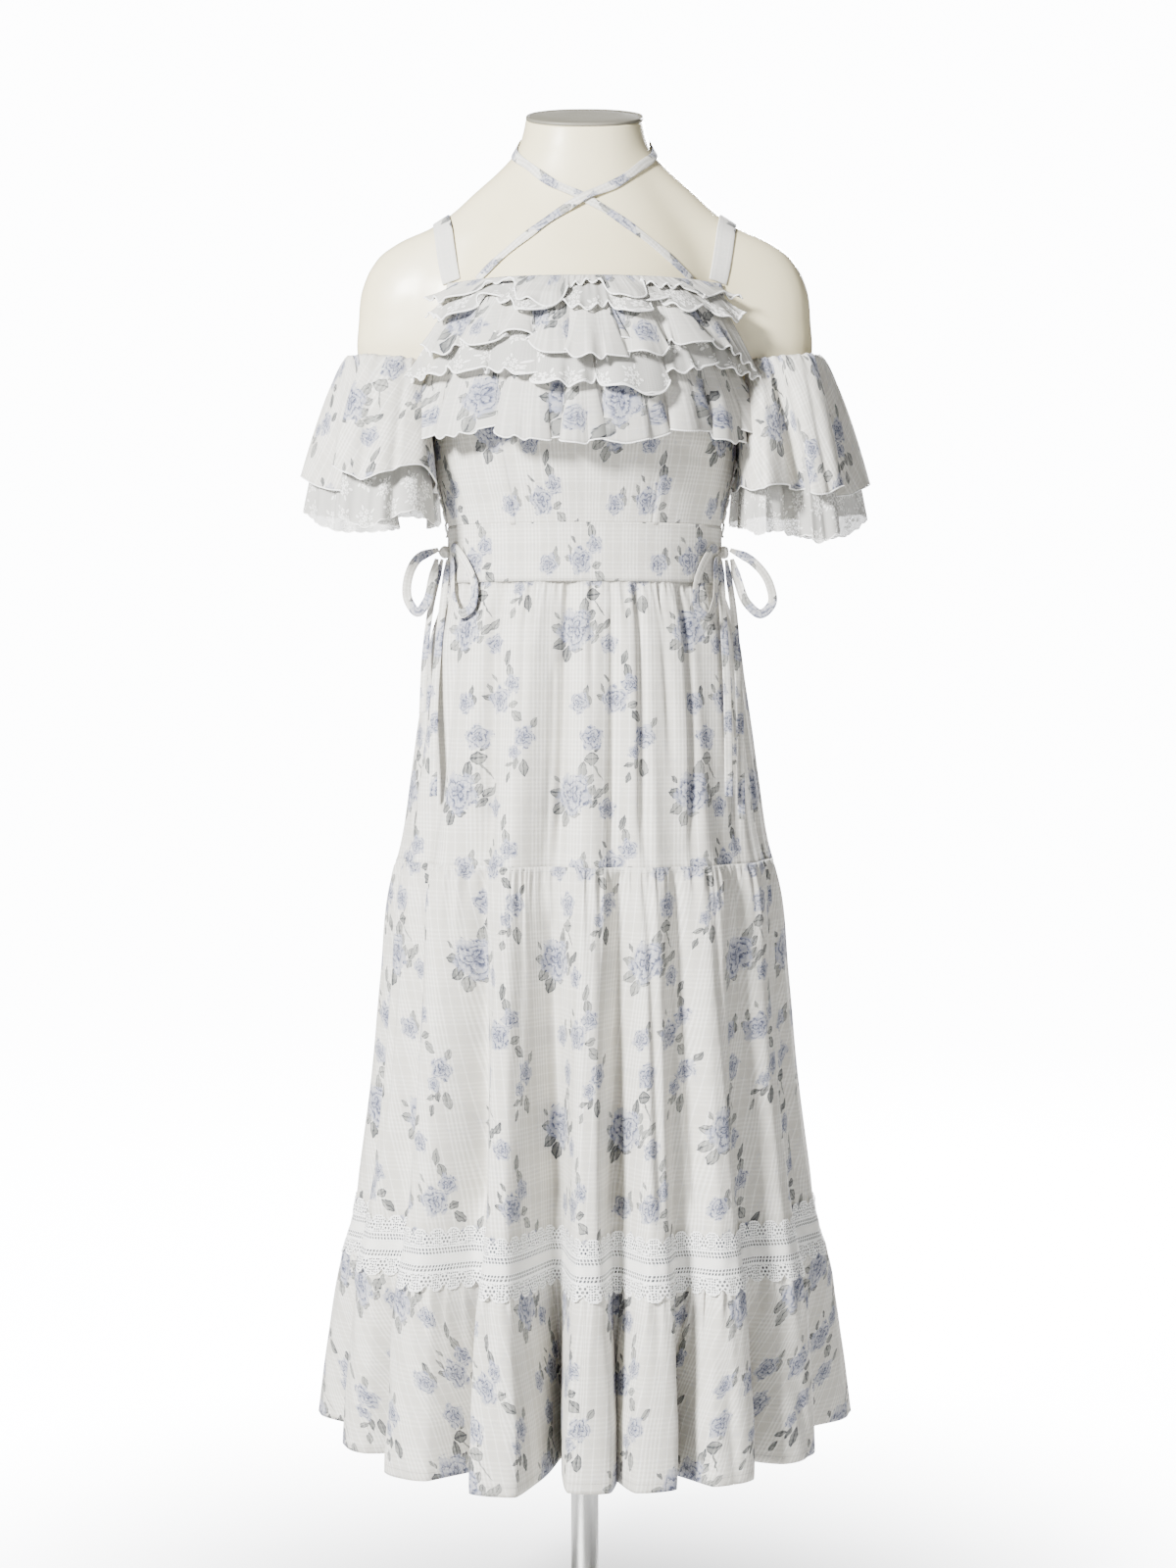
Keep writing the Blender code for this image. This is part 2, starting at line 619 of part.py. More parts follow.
def make_bodice(cloth):
    steps = np.linspace(-1.0, 1.0, BODICE_COLUMNS)[None, :]
    panels = (("front", 0.0, NECKLINE_Z, NECKLINE_ANGLE),
              ("back", np.pi, BACK_NECKLINE_Z, BACK_NECKLINE_ANGLE))
    below = (WAISTBAND_TOP_Z + 0.5 * SEAM_GAP, 1.062, 1.096, UNDERARM_Z)
    for half, middle, top, top_angle in panels:
        heights = np.array(below + (1.143, 1.165, 1.200, top))[:, None]
        angle = middle + steps * panel_limit(heights, top, top_angle)
        height = np.broadcast_to(heights, angle.shape)
        grid = polar_points(angle, bodice_radius(angle, height), height)
        draw_back_ends(grid, half, len(below))
        add_wall(f"bodice_{half}", grid, CLOTH, cloth, square_ends=True)


def make_waistband(cloth):
    heights = np.array([WAISTBAND_BOTTOM_Z + 0.5 * SEAM_GAP, 1.006,
                        WAISTBAND_TOP_Z - 0.5 * SEAM_GAP])[:, None]
    for half, middle in (("front", 0.0), ("back", np.pi)):
        angle = middle + np.linspace(-0.5, 0.5, BODICE_COLUMNS)[None, :] * np.pi + 0.0 * heights
        height = np.broadcast_to(heights, angle.shape)
        grid = polar_points(angle, bodice_radius(angle, height), height)
        draw_back_ends(grid, half, len(heights))
        add_wall(f"waistband_{half}", grid, CLOTH, cloth, square_ends=True)


def gather_height(distance, height):
    """Gathers start small at the seam, are fullest a little under it and fade out."""
    part = distance / GATHER_REACH
    return height * (0.25 + part) * np.exp(1.0 - part) / 1.25


def make_skirt(cloth, lace):
    for name, top, bottom, distances, spacing_mm, least, gather_mm in SKIRT_PIECES:
        low = bottom if bottom == HEM_Z else bottom + 0.5 * SEAM_GAP
        heights = [low] + [top - 0.5 * SEAM_GAP - step for step in distances[::-1]]
        wall = TULLE if name == "lace_band" else CLOTH
        finish = lace if name == "lace_band" else cloth
        for half in ("front", "back"):
            turns = half_turns(half)
            counts = column_counts(turns, low, 0.001 * spacing_mm, least)
            gathers = np.cos(2.0 * np.pi * np.arange(sum(counts) + 1) / COLUMNS_PER_GATHER)
            rows = []
            for height in heights:
                angle = column_angles(turns, height, counts)
                level = np.full_like(angle, height)
                swell = 0.001 * gather_height(top - height, gather_mm)
                radius = skirt_radius(angle, level) + 0.5 * swell * (gathers - 1.0)
                if height == HEM_Z:
                    level = level + HEM_RISE_BACK * np.sin(0.5 * angle) ** 2
                rows.append(polar_points(angle, radius, level))
            grid = np.array(rows)
            draw_back_ends(grid, half, len(heights))
            add_wall(f"{name}_{half}", grid, wall, finish, square_ends=True)


def ruffle_distance(row, angle, height):
    """Own distance of a ruffle from the bodice, before it is laid over the ones beneath."""
    sewn, edge, end, near, far, waves, wave_mm, phase = (row[column] for column in (1, 2, 4, 5, 6, 7, 8, 9))
    share = np.clip((sewn - height) / (sewn - edge), 0.0, 1.0)
    turn = angle / np.radians(end) * 0.5 * waves + phase
    wave = 0.8 * np.sin(2.0 * np.pi * turn) + 0.2 * np.sin(2.0 * np.pi * (0.37 * turn + phase))
    mean = near + (far - near) * share ** 1.15
    return 0.001 * (mean + wave_mm * wave * share ** 1.3)


def make_ruffles(cloth, tulle):
    """Ruffles from the inside out. Each lies over those beneath it with a small gap."""
    under = []
    for row in RUFFLES:
        name, sewn, edge, top_end, end = row[:5]
        waves, phase, wall = row[7], row[9], row[10]
        step = np.array(RUFFLE_STEPS)[::-1][:, None]
        reach = np.radians(top_end + (end - top_end) * step)
        angle = np.linspace(-1.0, 1.0, RUFFLE_COLUMNS)[None, :] * reach
        height = sewn + (edge - sewn) * step + 0.0 * angle
        distance = stacked_distance(under + [row], angle, height)
        under.append(row)
        turn = angle / np.radians(end) * 0.5 * waves + phase
        height = height - RUFFLE_EDGE_DIP * step * np.sin(2.0 * np.pi * turn)
        radius = bodice_radius(angle, np.minimum(height, NECKLINE_Z)) + distance
        points = polar_points(angle, radius, height)
        add_wall(name, points, wall, tulle if wall == TULLE else cloth, level=False)


def stacked_distance(rows, angle, height):
    """Distance of the outermost of some ruffles once each lies over the one beneath it."""
    distance = ruffle_distance(rows[0], angle, height)
    for under, row in zip(rows[:-1], rows[1:]):
        own = ruffle_distance(row, angle, height)
        beneath = height <= under[1]
        distance = np.where(beneath, np.maximum(own, distance + RUFFLE_LAYER_GAP), own)
    return distance


def sleeve_points(side, turn, place, hem_z, share):
    """A sleeve round the arm: the turn starts at the outside and runs round by the back."""
    table = np.array(SLEEVE_SECTIONS)
    found = smooth_curve(table[:, 0], table[:, 1:], place)
    centre, half_width, half_depth, fold = np.moveaxis(found, -1, 0)
    outside = 0.5 + 0.5 * np.cos(turn)
    waves = 0.001 * fold * np.sin(SLEEVE_FOLDS * turn + 0.9) * np.clip(outside * 1.6, 0.0, 1.0)
    x = centre + (half_width * share + waves) * np.cos(turn)
    y = (half_depth * share + waves) * np.sin(turn)
    top = SLEEVE_TOP_Z - SLEEVE_TOP_DIP * (1.0 - outside) ** 2
    return np.stack([side * x, y, top + (hem_z - top) * place], axis=-1)


def make_sleeves(cloth, tulle):
    turn = np.linspace(0.0, 2.0 * np.pi, SLEEVE_COLUMNS, endpoint=False)[None, :]
    for side, word in ((-1.0, "left"), (1.0, "right")):
        for name, first, last, hem_z, top_share, hem_share, steps, wall in SLEEVE_LAYERS:
            step = np.array(steps)[::-1][:, None] + 0.0 * turn
            place = first + (last - first) * step
            share = top_share + (hem_share - top_share) * step
            points = sleeve_points(side, turn + 0.0 * place, place, hem_z, share)
            if side < 0.0:
                points = points[:, ::-1]
            add_wall(f"{name}_{word}", points, wall, tulle if wall == TULLE else cloth,
                     closed=True, level=False)


def form_gap(points):
    """How far points lie outside the form below the leaning neck, level with the axis."""
    angle = np.arctan2(points[..., 0], -points[..., 1])
    return np.hypot(points[..., 0], points[..., 1]) - form_radius(angle, points[..., 2])


def form_exit(inside, direction):
    """Where rays from points inside the form come out of it, found by halving the distance."""
    near = np.zeros(len(inside))
    far = np.full(len(inside), 0.2)
    for _ in range(30):
        middle = 0.5 * (near + far)
        outside = form_gap(inside + direction * middle[:, None]) > 0.0
        far = np.where(outside, middle, far)
        near = np.where(outside, near, middle)
    return inside + direction * far[:, None]


def form_facing(points):
    """Outward directions of the form's surface, from small steps along the three axes."""
    step = 0.001
    slopes = [form_gap(points + step * axis) - form_gap(points - step * axis) for axis in np.eye(3)]
    facing = np.stack(slopes, axis=-1)
    return facing / np.linalg.norm(facing, axis=-1, keepdims=True)


def evened(directions, passes):
    """Directions along a band, each averaged with its neighbours a few times."""
    evened_out = directions / np.linalg.norm(directions, axis=1, keepdims=True)
    for _ in range(passes):
        middle = 0.25 * evened_out[:-2] + 0.5 * evened_out[1:-1] + 0.25 * evened_out[2:]
        evened_out = np.concatenate([evened_out[:1], middle, evened_out[-1:]])
        evened_out /= np.linalg.norm(evened_out, axis=1, keepdims=True)
    return evened_out


def make_straps(cloth):
    """Each strap is wrapped over the shoulder from the front neckline to the back one."""
    table = np.array(STRAP_ROUTE)
    turn = np.linspace(table[0, 0], table[-1, 0], STRAP_POINTS)
    x = smooth_curve(table[:, 0], table[:, 1], turn)
    turn = np.radians(turn)
    direction = np.stack([0.0 * turn, -np.cos(turn), np.sin(turn)], axis=1)
    for side, word in ((-1.0, "left"), (1.0, "right")):
        pivot = np.stack([side * x, 0.0 * turn, 0.0 * turn + STRAP_PIVOT_Z], axis=1)
        surface = form_exit(pivot, direction)
        facing = evened(form_facing(surface), 4)
        middle = surface + facing * STRAP_LIFT
        across = evened(np.cross(np.gradient(middle, axis=0), facing), 3)
        across[(0, -1), 2] = 0.0
        add_band(f"strap_{word}", middle, across, facing, STRAP_WIDTH, STRAP_THICKNESS, cloth)


def add_ball(name, middle, half, material):
    """A small rounded body through level rings, such as a knot."""
    turn = np.linspace(0.0, 2.0 * np.pi, 8, endpoint=False)
    rings = []
    for rise in (-0.86, -0.5, 0.0, 0.5, 0.86):
        wide = math.sqrt(1.0 - rise * rise)
        rings.append(np.stack([middle[0] + half[0] * wide * np.sin(turn),
                               middle[1] - half[1] * wide * np.cos(turn),
                               middle[2] + half[2] * rise + 0.0 * turn], axis=1))
    return add_loft(name, rings, material)


def make_neck_ties(cloth):
    """Two ties that cross under the throat, go round the neck and meet in a knot behind it."""
    for side, word, bump in ((-1.0, "left", TIE_LIFT_AT_CROSSING), (1.0, "right", 0.0)):
        route = [(-side * angle, height) for angle, height in TIE_ROUTE]
        count = 30
        middle, across, facing = surface_route(form_points, route, count, np.full(count, TIE_LIFT))
        angle = np.degrees(np.arctan2(middle[:, 0], -middle[:, 1]))
        middle = middle + facing * (bump * np.exp(-(angle / TIE_BUMP_ANGLE) ** 2))[:, None]
        add_band(f"neck_tie_{word}", middle, across, facing, TIE_WIDTH, TIE_THICKNESS, cloth)
    angle, height, lift = NECK_KNOT_PLACE
    place = form_points(np.radians([angle]), np.array([height]))[0]
    add_ball("neck_knot", place + np.array([0.0, lift, 0.0]), NECK_KNOT_HALF, cloth)
    for name, route in NECK_TAIL_ROUTES.items():
        middle, across, facing = surface_route(form_points, route, TAIL_POINTS,
                                               np.full(TAIL_POINTS, TIE_LIFT))
        width = narrowed(middle, TAIL_WIDTH, False)
        add_band(name, middle, across, facing, width, TIE_THICKNESS, cloth)


def dress_sections(height):
    """Half width and front depth of the dress at any height, bodice and skirt together."""
    upper = section_at(BODICE_SECTIONS, height)
    lower = section_at(SKIRT_SECTIONS, height)
    above = height > WAISTBAND_BOTTOM_Z
    return np.where(above, upper[0], lower[0]), np.where(above, upper[1], lower[1])


def lay_on_front(x, height, lift):
    """Points on the front of the dress under points seen from the front, and where they face."""
    half_width, front = dress_sections(height)
    share = np.clip(np.abs(x) / (half_width + lift), 0.0, 0.9999)
    y = -(front + lift) * (1.0 - share ** BODY_SQUARENESS) ** (1.0 / BODY_SQUARENESS)
    facing = np.stack([np.sign(x) * share ** (BODY_SQUARENESS - 1.0) / half_width,
                       -(np.abs(y) / front) ** (BODY_SQUARENESS - 1.0) / front,
                       0.0 * x], axis=-1)
    facing /= np.linalg.norm(facing, axis=-1, keepdims=True)
    return np.stack([x, y, height], axis=-1), facing


def even_route(route, count):
    """Evenly spaced points along a smooth line through the rows of a route."""
    table = np.array(route)
    place = np.concatenate([[0.0], np.cumsum(np.linalg.norm(np.diff(table, axis=0), axis=1))])
    return smooth_curve(place, table, np.linspace(0.0, place[-1], count))


def knot_route(seen, lift, before, after, knot, side):
    """A line over the cloth that leaves the knot at one offset and may come back at another."""
    seen = np.array(seen)
    laid = lay_on_front(seen[:, 0], seen[:, 1], lift)[0]
    laid[:, 1] = np.minimum(laid[:, 1], TAIL_SIDE_Y)
    inward = np.array([-side, 1.0, 1.0])
    ends = [[knot + inward * offset] for offset in (before, after) if offset is not None]
    return np.concatenate([ends[0], laid] + ends[1:])


def add_laid_band(name, route, count, width, both_ends, material):
    middle = even_route(route, count)
    facing = lay_on_front(middle[:, 0], middle[:, 2], TAIL_LIFT)[1]
    across = np.cross(np.gradient(middle, axis=0), facing)
    width = narrowed(middle, width, both_ends)
    add_band(name, middle, across, facing, width, BOW_THICKNESS, material)


def make_bows(cloth):
    """At each side a knot, an outer loop, a loop on the front and two hanging tails."""
    for side, word in ((-1.0, "left"), (1.0, "right")):
        x, height = KNOTS[word]
        knot = lay_on_front(np.array([x]), np.array([height]), KNOT_LIFT)[0][0]
        add_ball(f"bow_{word}_knot", knot, KNOT_HALF, cloth)
        seen = even_route(OUTER_LOOPS[word], LOOP_POINTS)
        middle = np.insert(seen, 1, knot[1], axis=1)
        facing = np.tile([0.0, -1.0, 0.0], (LOOP_POINTS, 1))
        across = np.cross(np.gradient(middle, axis=0), facing)
        width = narrowed(middle, BOW_WIDTH, True)
        add_band(f"bow_{word}_outer_loop", middle, across, facing, width, BOW_THICKNESS, cloth)
        route = knot_route(FRONT_LOOPS[word], LOOP_LIFT, *np.array(LOOP_STARTS), knot, side)
        add_laid_band(f"bow_{word}_front_loop", route, LOOP_POINTS, BOW_WIDTH, True, cloth)
        for number, seen in enumerate(BOW_TAILS[word], 1):
            outer = (number == 1) == (word == "left")
            start = np.array(TAIL_STARTS[0 if outer else 1])
            route = knot_route(seen, TAIL_LIFT, start, None, knot, side)
            add_laid_band(f"bow_{word}_tail_{number}", route, TAIL_POINTS, TAIL_WIDTH, False, cloth)


def side_points(side, offset, height, lift):
    """Points over a side seam, offset along the cloth from it, towards the front if negative."""
    radius = section_at(BODICE_SECTIONS, height)[0]
    angle = 0.5 * np.pi + offset / radius
    middle = polar_points(side * angle, bodice_radius(angle, height) + lift, height)
    facing = polar_points(side * angle, 1.0, 0.0)
    return middle, facing


def make_side_lacing(cloth):
    """A lace that zigzags over each side seam, between two narrow tapes of loops."""
    count = 4 * LACING_TURNS + 1
    step = np.arange(count)
    zigzag = 2.0 * np.abs(2.0 * ((step / 4.0 + 0.25) % 1.0) - 1.0) - 1.0
    height = np.linspace(LACING_BOTTOM_Z, LACING_TOP_Z, count)
    tape_height = np.linspace(LACING_BOTTOM_Z + 0.012, LACING_TOP_Z, TAPE_POINTS)
    for side, word in ((-1.0, "left"), (1.0, "right")):
        middle, facing = side_points(side, LACING_HALF_WIDTH * zigzag, height, LACING_LIFT)
        across = np.cross(np.gradient(middle, axis=0), facing)
        add_band(f"side_lace_{word}", middle, across, facing, LACING_WIDTH, LACING_THICKNESS, cloth)
        for place, sign in (("front", -1.0), ("back", 1.0)):
            offset = np.full(TAPE_POINTS, sign * TAPE_DISTANCE)
            middle, facing = side_points(side, offset, tape_height, TAPE_LIFT)
            across = np.cross(np.gradient(middle, axis=0), facing)
            add_band(f"side_loops_{word}_{place}", middle, across, facing, TAPE_WIDTH,
                     TAPE_THICKNESS, cloth)


def main():
    remove_all_objects()
    shell = make_material("form_shell", (0.80, 0.78, 0.69), 0.28)
    cap_finish = make_material("form_cap", (0.47, 0.45, 0.41), 0.5)
    metal = make_material("stand_metal", (0.80, 0.80, 0.80), 0.25, 1.0)
    cloth = make_material("printed_cotton", (0.78, 0.79, 0.80), 0.85)
    tulle = make_material("embroidered_tulle", (0.86, 0.86, 0.86), 0.9)
    lace = make_material("cotton_lace", (0.88, 0.88, 0.86), 0.9)
    make_form(shell, cap_finish, metal)
    make_bodice(cloth)
    make_waistband(cloth)
    make_skirt(cloth, lace)
    make_ruffles(cloth, tulle)
    make_sleeves(cloth, tulle)
    make_straps(cloth)
    make_neck_ties(cloth)
    make_bows(cloth)
    make_side_lacing(cloth)


main()
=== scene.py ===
import math

import bpy
import numpy as np
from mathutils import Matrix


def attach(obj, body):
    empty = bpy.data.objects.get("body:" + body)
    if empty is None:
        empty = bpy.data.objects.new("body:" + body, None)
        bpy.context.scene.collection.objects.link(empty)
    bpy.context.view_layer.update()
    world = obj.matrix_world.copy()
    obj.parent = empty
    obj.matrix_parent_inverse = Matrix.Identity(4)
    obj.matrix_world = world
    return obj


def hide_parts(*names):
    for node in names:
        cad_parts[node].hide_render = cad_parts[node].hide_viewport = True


# A tiered cotton maxi dress on a limbless dress form. Metres, +Z up, the front faces -Y.
# An angle round the body runs from the front (0) towards +X (a quarter turn).

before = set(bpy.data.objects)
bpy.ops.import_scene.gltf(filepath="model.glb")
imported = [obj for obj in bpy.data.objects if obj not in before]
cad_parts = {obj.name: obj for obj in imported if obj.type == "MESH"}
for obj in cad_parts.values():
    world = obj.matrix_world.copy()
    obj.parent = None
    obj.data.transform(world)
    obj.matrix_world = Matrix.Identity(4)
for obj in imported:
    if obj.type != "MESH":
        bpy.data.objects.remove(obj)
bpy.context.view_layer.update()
print("frame loaded")

# ---- camera first: level, at waist height, with the horizon 100 px above the middle of 1200 x 1600
cameraSetup = dict(place=(0.003, -2.5, 0.888), lens=62.9, sensor=36.0, shift=-100.0 / 1600.0)


def makeCamera(setup):
    # a level camera, moved up or down by its shift
    data = bpy.data.cameras.new("camera")
    data.sensor_fit = "VERTICAL"
    data.sensor_height = setup["sensor"]
    data.lens = setup["lens"]
    data.shift_y = setup["shift"]
    item = bpy.data.objects.new("camera", data)
    item.location = setup["place"]
    item.rotation_euler = (math.radians(90.0), 0.0, 0.0)
    bpy.context.scene.collection.objects.link(item)
    bpy.context.scene.camera = item


makeCamera(cameraSetup)


# ---- smooth curves and sections
def smoothCurve(places, values, at):
    # cubic through the values; each slope is the mean of the rises on both sides
    places, values = np.asarray(places, float), np.asarray(values, float)
    at = np.clip(np.asarray(at, float), places[0], places[-1])
    steps = np.diff(places)
    rises = (np.diff(values, axis=0).T / steps).T
    slopes = np.empty_like(values)
    slopes[0], slopes[-1] = rises[0], rises[-1]
    before = (steps[1:] / (steps[1:] + steps[:-1])).reshape(-1, *([1] * (values.ndim - 1)))
    slopes[1:-1] = rises[:-1] * before + rises[1:] * (1.0 - before)
    row = np.clip(np.searchsorted(places, at, side="right") - 1, 0, len(places) - 2)
    part, step = (at - places[row]) / steps[row], steps[row]
    if values.ndim > 1:
        part, step = part[..., None], step[..., None]
    square, cube = part ** 2, part ** 3
    return ((2 * cube - 3 * square + 1) * values[row] + (cube - 2 * square + part) * step * slopes[row]
            + (3 * square - 2 * cube) * values[row + 1] + (cube - square) * step * slopes[row + 1])


def sectionAt(table, height):
    # the columns of a table whose first column is the height, at any height
    table = np.array(table)
    found = smoothCurve(table[:, 0], table[:, 1:], height)
    return [found[..., column] for column in range(found.shape[-1])]


def ovalRadius(angle, halfWidth, front, back, squareness):
    # distance from the axis to a rounded oval |x/a|^n + |y/b|^n = 1 along an angle
    across = np.abs(np.sin(angle)) / halfWidth
    along = np.abs(np.cos(angle)) / np.where(np.cos(angle) > 0.0, front, back)
    return (across ** squareness + along ** squareness) ** (-1.0 / squareness)


def polar(angle, radius, height):
    # x is the radius times the sine of the angle, y less the radius times its cosine
    angle, radius, height = np.broadcast_arrays(angle, radius, height)
    return np.stack([radius * np.sin(angle), -radius * np.cos(angle), height], axis=-1)


def roundTurn(count):
    # angles evenly round a whole turn, without its end
    return np.linspace(0.0, 2.0 * np.pi, count, endpoint=False)


def limited(share):
    # no less than 0 and no more than 1
    return np.clip(share, 0.0, 1.0)


def mixed(first, second, share):
    # the first at share 0, the second at share 1, in a straight line between
    return first * (1.0 - share) + second * share


def eased(share):
    # half a cosine wave from 0 to 1
    return 0.5 - 0.5 * np.cos(np.pi * share)


def bell(place):
    # e to the power of less the square
    return np.exp(-place ** 2)


def between(table, angle):
    # the row before an angle, in a table whose first column is in degrees, and the share of the way on
    turns = np.radians(table[:, 0])
    row = np.clip(np.searchsorted(turns, angle, side="right") - 1, 0, len(turns) - 2)
    return row, limited((angle - turns[row]) / (turns[row + 1] - turns[row]))


def unit(vectors):
    # each vector over its own length
    return vectors / np.maximum(np.linalg.norm(vectors, axis=-1, keepdims=True), 1e-12)


def runLength(points, axis=0):
    # length along a line of points, from 0
    steps = np.linalg.norm(np.diff(points, axis=axis), axis=-1)
    start = np.zeros_like(np.take(steps, [0], axis=axis))
    return np.concatenate([start, np.cumsum(steps, axis=axis)], axis=axis)


def evenLine(route, count):
    # points spaced evenly along a smooth line through the rows of a route
    table = np.asarray(route, float)
    place = runLength(table)
    fine = smoothCurve(place, table, np.linspace(0.0, place[-1], 400))
    place = runLength(fine)
    at = np.linspace(0.0, place[-1], count)
    return np.stack([np.interp(at, place, fine[:, k]) for k in range(table.shape[1])], axis=1)


# ---- mesh making
def makeMesh(name, points, faces, uvs, material):
    # one mesh from whole arrays: faces are arrays of 3 or 4 corners, uvs the same shape with 2 values
    mesh = bpy.data.meshes.new(name)
    mesh.vertices.add(len(points))
    mesh.vertices.foreach_set("co", np.asarray(points, np.float32).ravel())
    corners = np.concatenate([face.ravel() for face in faces]).astype(np.int32)
    sizes = np.concatenate([np.full(len(face), face.shape[1], np.int32) for face in faces])
    starts = np.concatenate([[0], np.cumsum(sizes)[:-1]]).astype(np.int32)
    mesh.loops.add(len(corners))
    mesh.loops.foreach_set("vertex_index", corners)
    mesh.polygons.add(len(sizes))
    mesh.polygons.foreach_set("loop_start", starts)
    mesh.polygons.foreach_set("use_smooth", np.ones(len(sizes), bool))
    layer = mesh.uv_layers.new(name="cloth")
    flat = np.concatenate([uv.reshape(-1, 2) for uv in uvs]).astype(np.float32)
    layer.data.foreach_set("uv", flat.ravel())
    mesh.update(calc_edges=True)
    mesh.validate()
    mesh.materials.append(material)
    item = bpy.data.objects.new(name, mesh)
    bpy.context.scene.collection.objects.link(item)
    return item


def cellCorners(grid):
    # the four corners of every cell of a grid, in turn
    return grid[:-1, :-1], grid[:-1, 1:], grid[1:, 1:], grid[1:, :-1]


def quadsOf(number):
    # one face of four point numbers for each cell
    return np.stack(cellCorners(number), axis=-1).reshape(-1, 4)


def uvQuadsOf(uv):
    # the same corners on the cloth
    return np.stack(cellCorners(uv), axis=-2).reshape(-1, 4, 2)


def uvGrid(across, up):
    # pairs of a place across and a place up
    return np.stack(np.broadcast_arrays(across, up), axis=-1)


def numbered(rows, columns, closed, first=0):
    # point numbers row by row; a closed grid repeats its first column
    number = np.arange(rows * columns).reshape(rows, columns) + first
    return np.concatenate([number, number[:, :1]], axis=1) if closed else number


def gridNormals(grid, closed):
    # outward when rows run up and columns run with the angle
    along = (np.roll(grid, -1, 1) - np.roll(grid, 1, 1)) if closed else np.gradient(grid, axis=1)
    return unit(np.cross(along, np.gradient(grid, axis=0)))


def clothShell(name, outer, uv, thickness, material, closed=False):
    # a thin closed wall: the grid is its outer face, the inner face lies one thickness behind
    rows, columns = outer.shape[:2]
    inner = outer - gridNormals(outer, closed) * thickness
    front, back = (numbered(rows, columns, closed, first) for first in (0, rows * columns))
    faces, uvs = [quadsOf(front), quadsOf(back)[:, ::-1]], [uvQuadsOf(uv), uvQuadsOf(uv)[:, ::-1]]
    rims = [(back[0], front[0], uv[0]), (front[-1], back[-1], uv[-1])]
    if not closed:
        rims.append((back[::-1, 0], front[::-1, 0], uv[::-1, 0]))
        rims.append((back[:, -1], front[:, -1], uv[:, -1]))
    for first, second, place in rims:
        faces.append(quadsOf(np.stack([first, second])))
        uvs.append(uvQuadsOf(np.stack([place, place])))
    points = np.concatenate([outer.reshape(-1, 3), inner.reshape(-1, 3)])
    return makeMesh(name, points, faces, uvs, material)


def clothFace(name, grid, uv, material, closed=False):
    # one layer, for net and lace
    number = numbered(*grid.shape[:2], closed)
    return makeMesh(name, grid.reshape(-1, 3), [quadsOf(number)], [uvQuadsOf(uv)], material)


def loftParts(rings, start=(0.0, 0.0), firstPoint=0):
    # a body through rings (rows x sides x 3), with a fan over each end; rings run along the axis
    # so that sides x axis points outwards
    rows, sides = rings.shape[:2]
    number = numbered(rows, sides, True, firstPoint)
    around = runLength(np.concatenate([rings, rings[:, :1]], axis=1), axis=1)
    uv = uvGrid(around, runLength(rings.mean(axis=1))[:, None]) + np.array(start)
    faces, uvs = [quadsOf(number)], [uvQuadsOf(uv)]
    for place, row, turn in ((0, 0, -1), (1, -1, 1)):      # the fans turn opposite ways
        centre = np.full(sides, firstPoint + rows * sides + place)
        pair = (number[row, :-1], number[row, 1:])[::turn]
        faces.append(np.stack([centre, *pair], axis=1))
        pair = (uv[row, :-1], uv[row, 1:])[::turn]
        uvs.append(np.stack([mixed(*pair, 0.5), *pair], axis=1))
    ends = np.stack([rings[0].mean(axis=0), rings[-1].mean(axis=0)])
    return np.concatenate([rings.reshape(-1, 3), ends]), faces, uvs


def closedLoft(name, rings, material, start=(0.0, 0.0)):
    return makeMesh(name, *loftParts(rings, start), material)


def joinedLofts(name, bodies, material):
    # several closed bodies in one mesh
    points, faces, uvs = [], [], []
    for rings in bodies:
        more = loftParts(rings, firstPoint=sum(len(part) for part in points))
        points.append(more[0])
        faces += more[1]
        uvs += more[2]
    return makeMesh(name, np.concatenate(points), faces, uvs, material)


def sweptRings(path, across, facing, width, thickness, sides, roundness=0.6):
    # a rounded flat section (cosine and sine to a small power) carried along a path
    turn = roundTurn(sides)
    flatX, flatY = (np.sign(wave) * np.abs(wave) ** roundness for wave in (np.cos(turn), np.sin(turn)))
    rings = path[:, None, :]
    for way, size, share in ((across, width, flatX), (facing, thickness, flatY)):
        half = np.broadcast_to(size, len(path))[:, None, None] * 0.5
        rings = rings + unit(way)[:, None, :] * half * share[None, :, None]
    handed = np.einsum("ij,ij->i", np.cross(unit(across), unit(facing)), np.gradient(path, axis=0)).sum()
    return rings if handed > 0.0 else rings[:, ::-1]


def cordRings(path, facing, radius, sides):
    # circles square to the path
    across = np.cross(np.gradient(path, axis=0), facing)
    facing = np.cross(across, np.gradient(path, axis=0))
    return sweptRings(path, across, facing, 2.0 * radius, 2.0 * radius, sides, 1.0)


def cordTube(name, path, facing, radius, material, sides=8):
    # a round cord along the path, closed at both ends
    return closedLoft(name, cordRings(path, facing, radius, sides), material)


def closedTube(name, path, facing, radius, material, sides=6):
    # a ring-shaped cord, whose last point meets its first
    along = np.roll(path, -1, 0) - np.roll(path, 1, 0)
    across = unit(np.cross(along, facing))
    up = unit(np.cross(across, along))
    turn = roundTurn(sides)[None, :, None]
    rings = path[:, None] + radius * (np.cos(turn) * across[:, None] + np.sin(turn) * up[:, None])
    number = numbered(len(path), sides, True)
    number = np.concatenate([number, number[:1]])
    uv = uvGrid(np.arange(sides + 1) * radius, runLength(np.concatenate([path, path[:1]]))[:, None])
    item = makeMesh(name, rings.reshape(-1, 3), [quadsOf(number)], [uvQuadsOf(uv)], material)
    a, b, c = (rings.reshape(-1, 3)[quadsOf(number)[:, k]] for k in range(3))
    if np.einsum("ij,ij->i", a, np.cross(b, c)).sum() < 0.0:
        item.data.flip_normals()
    return item


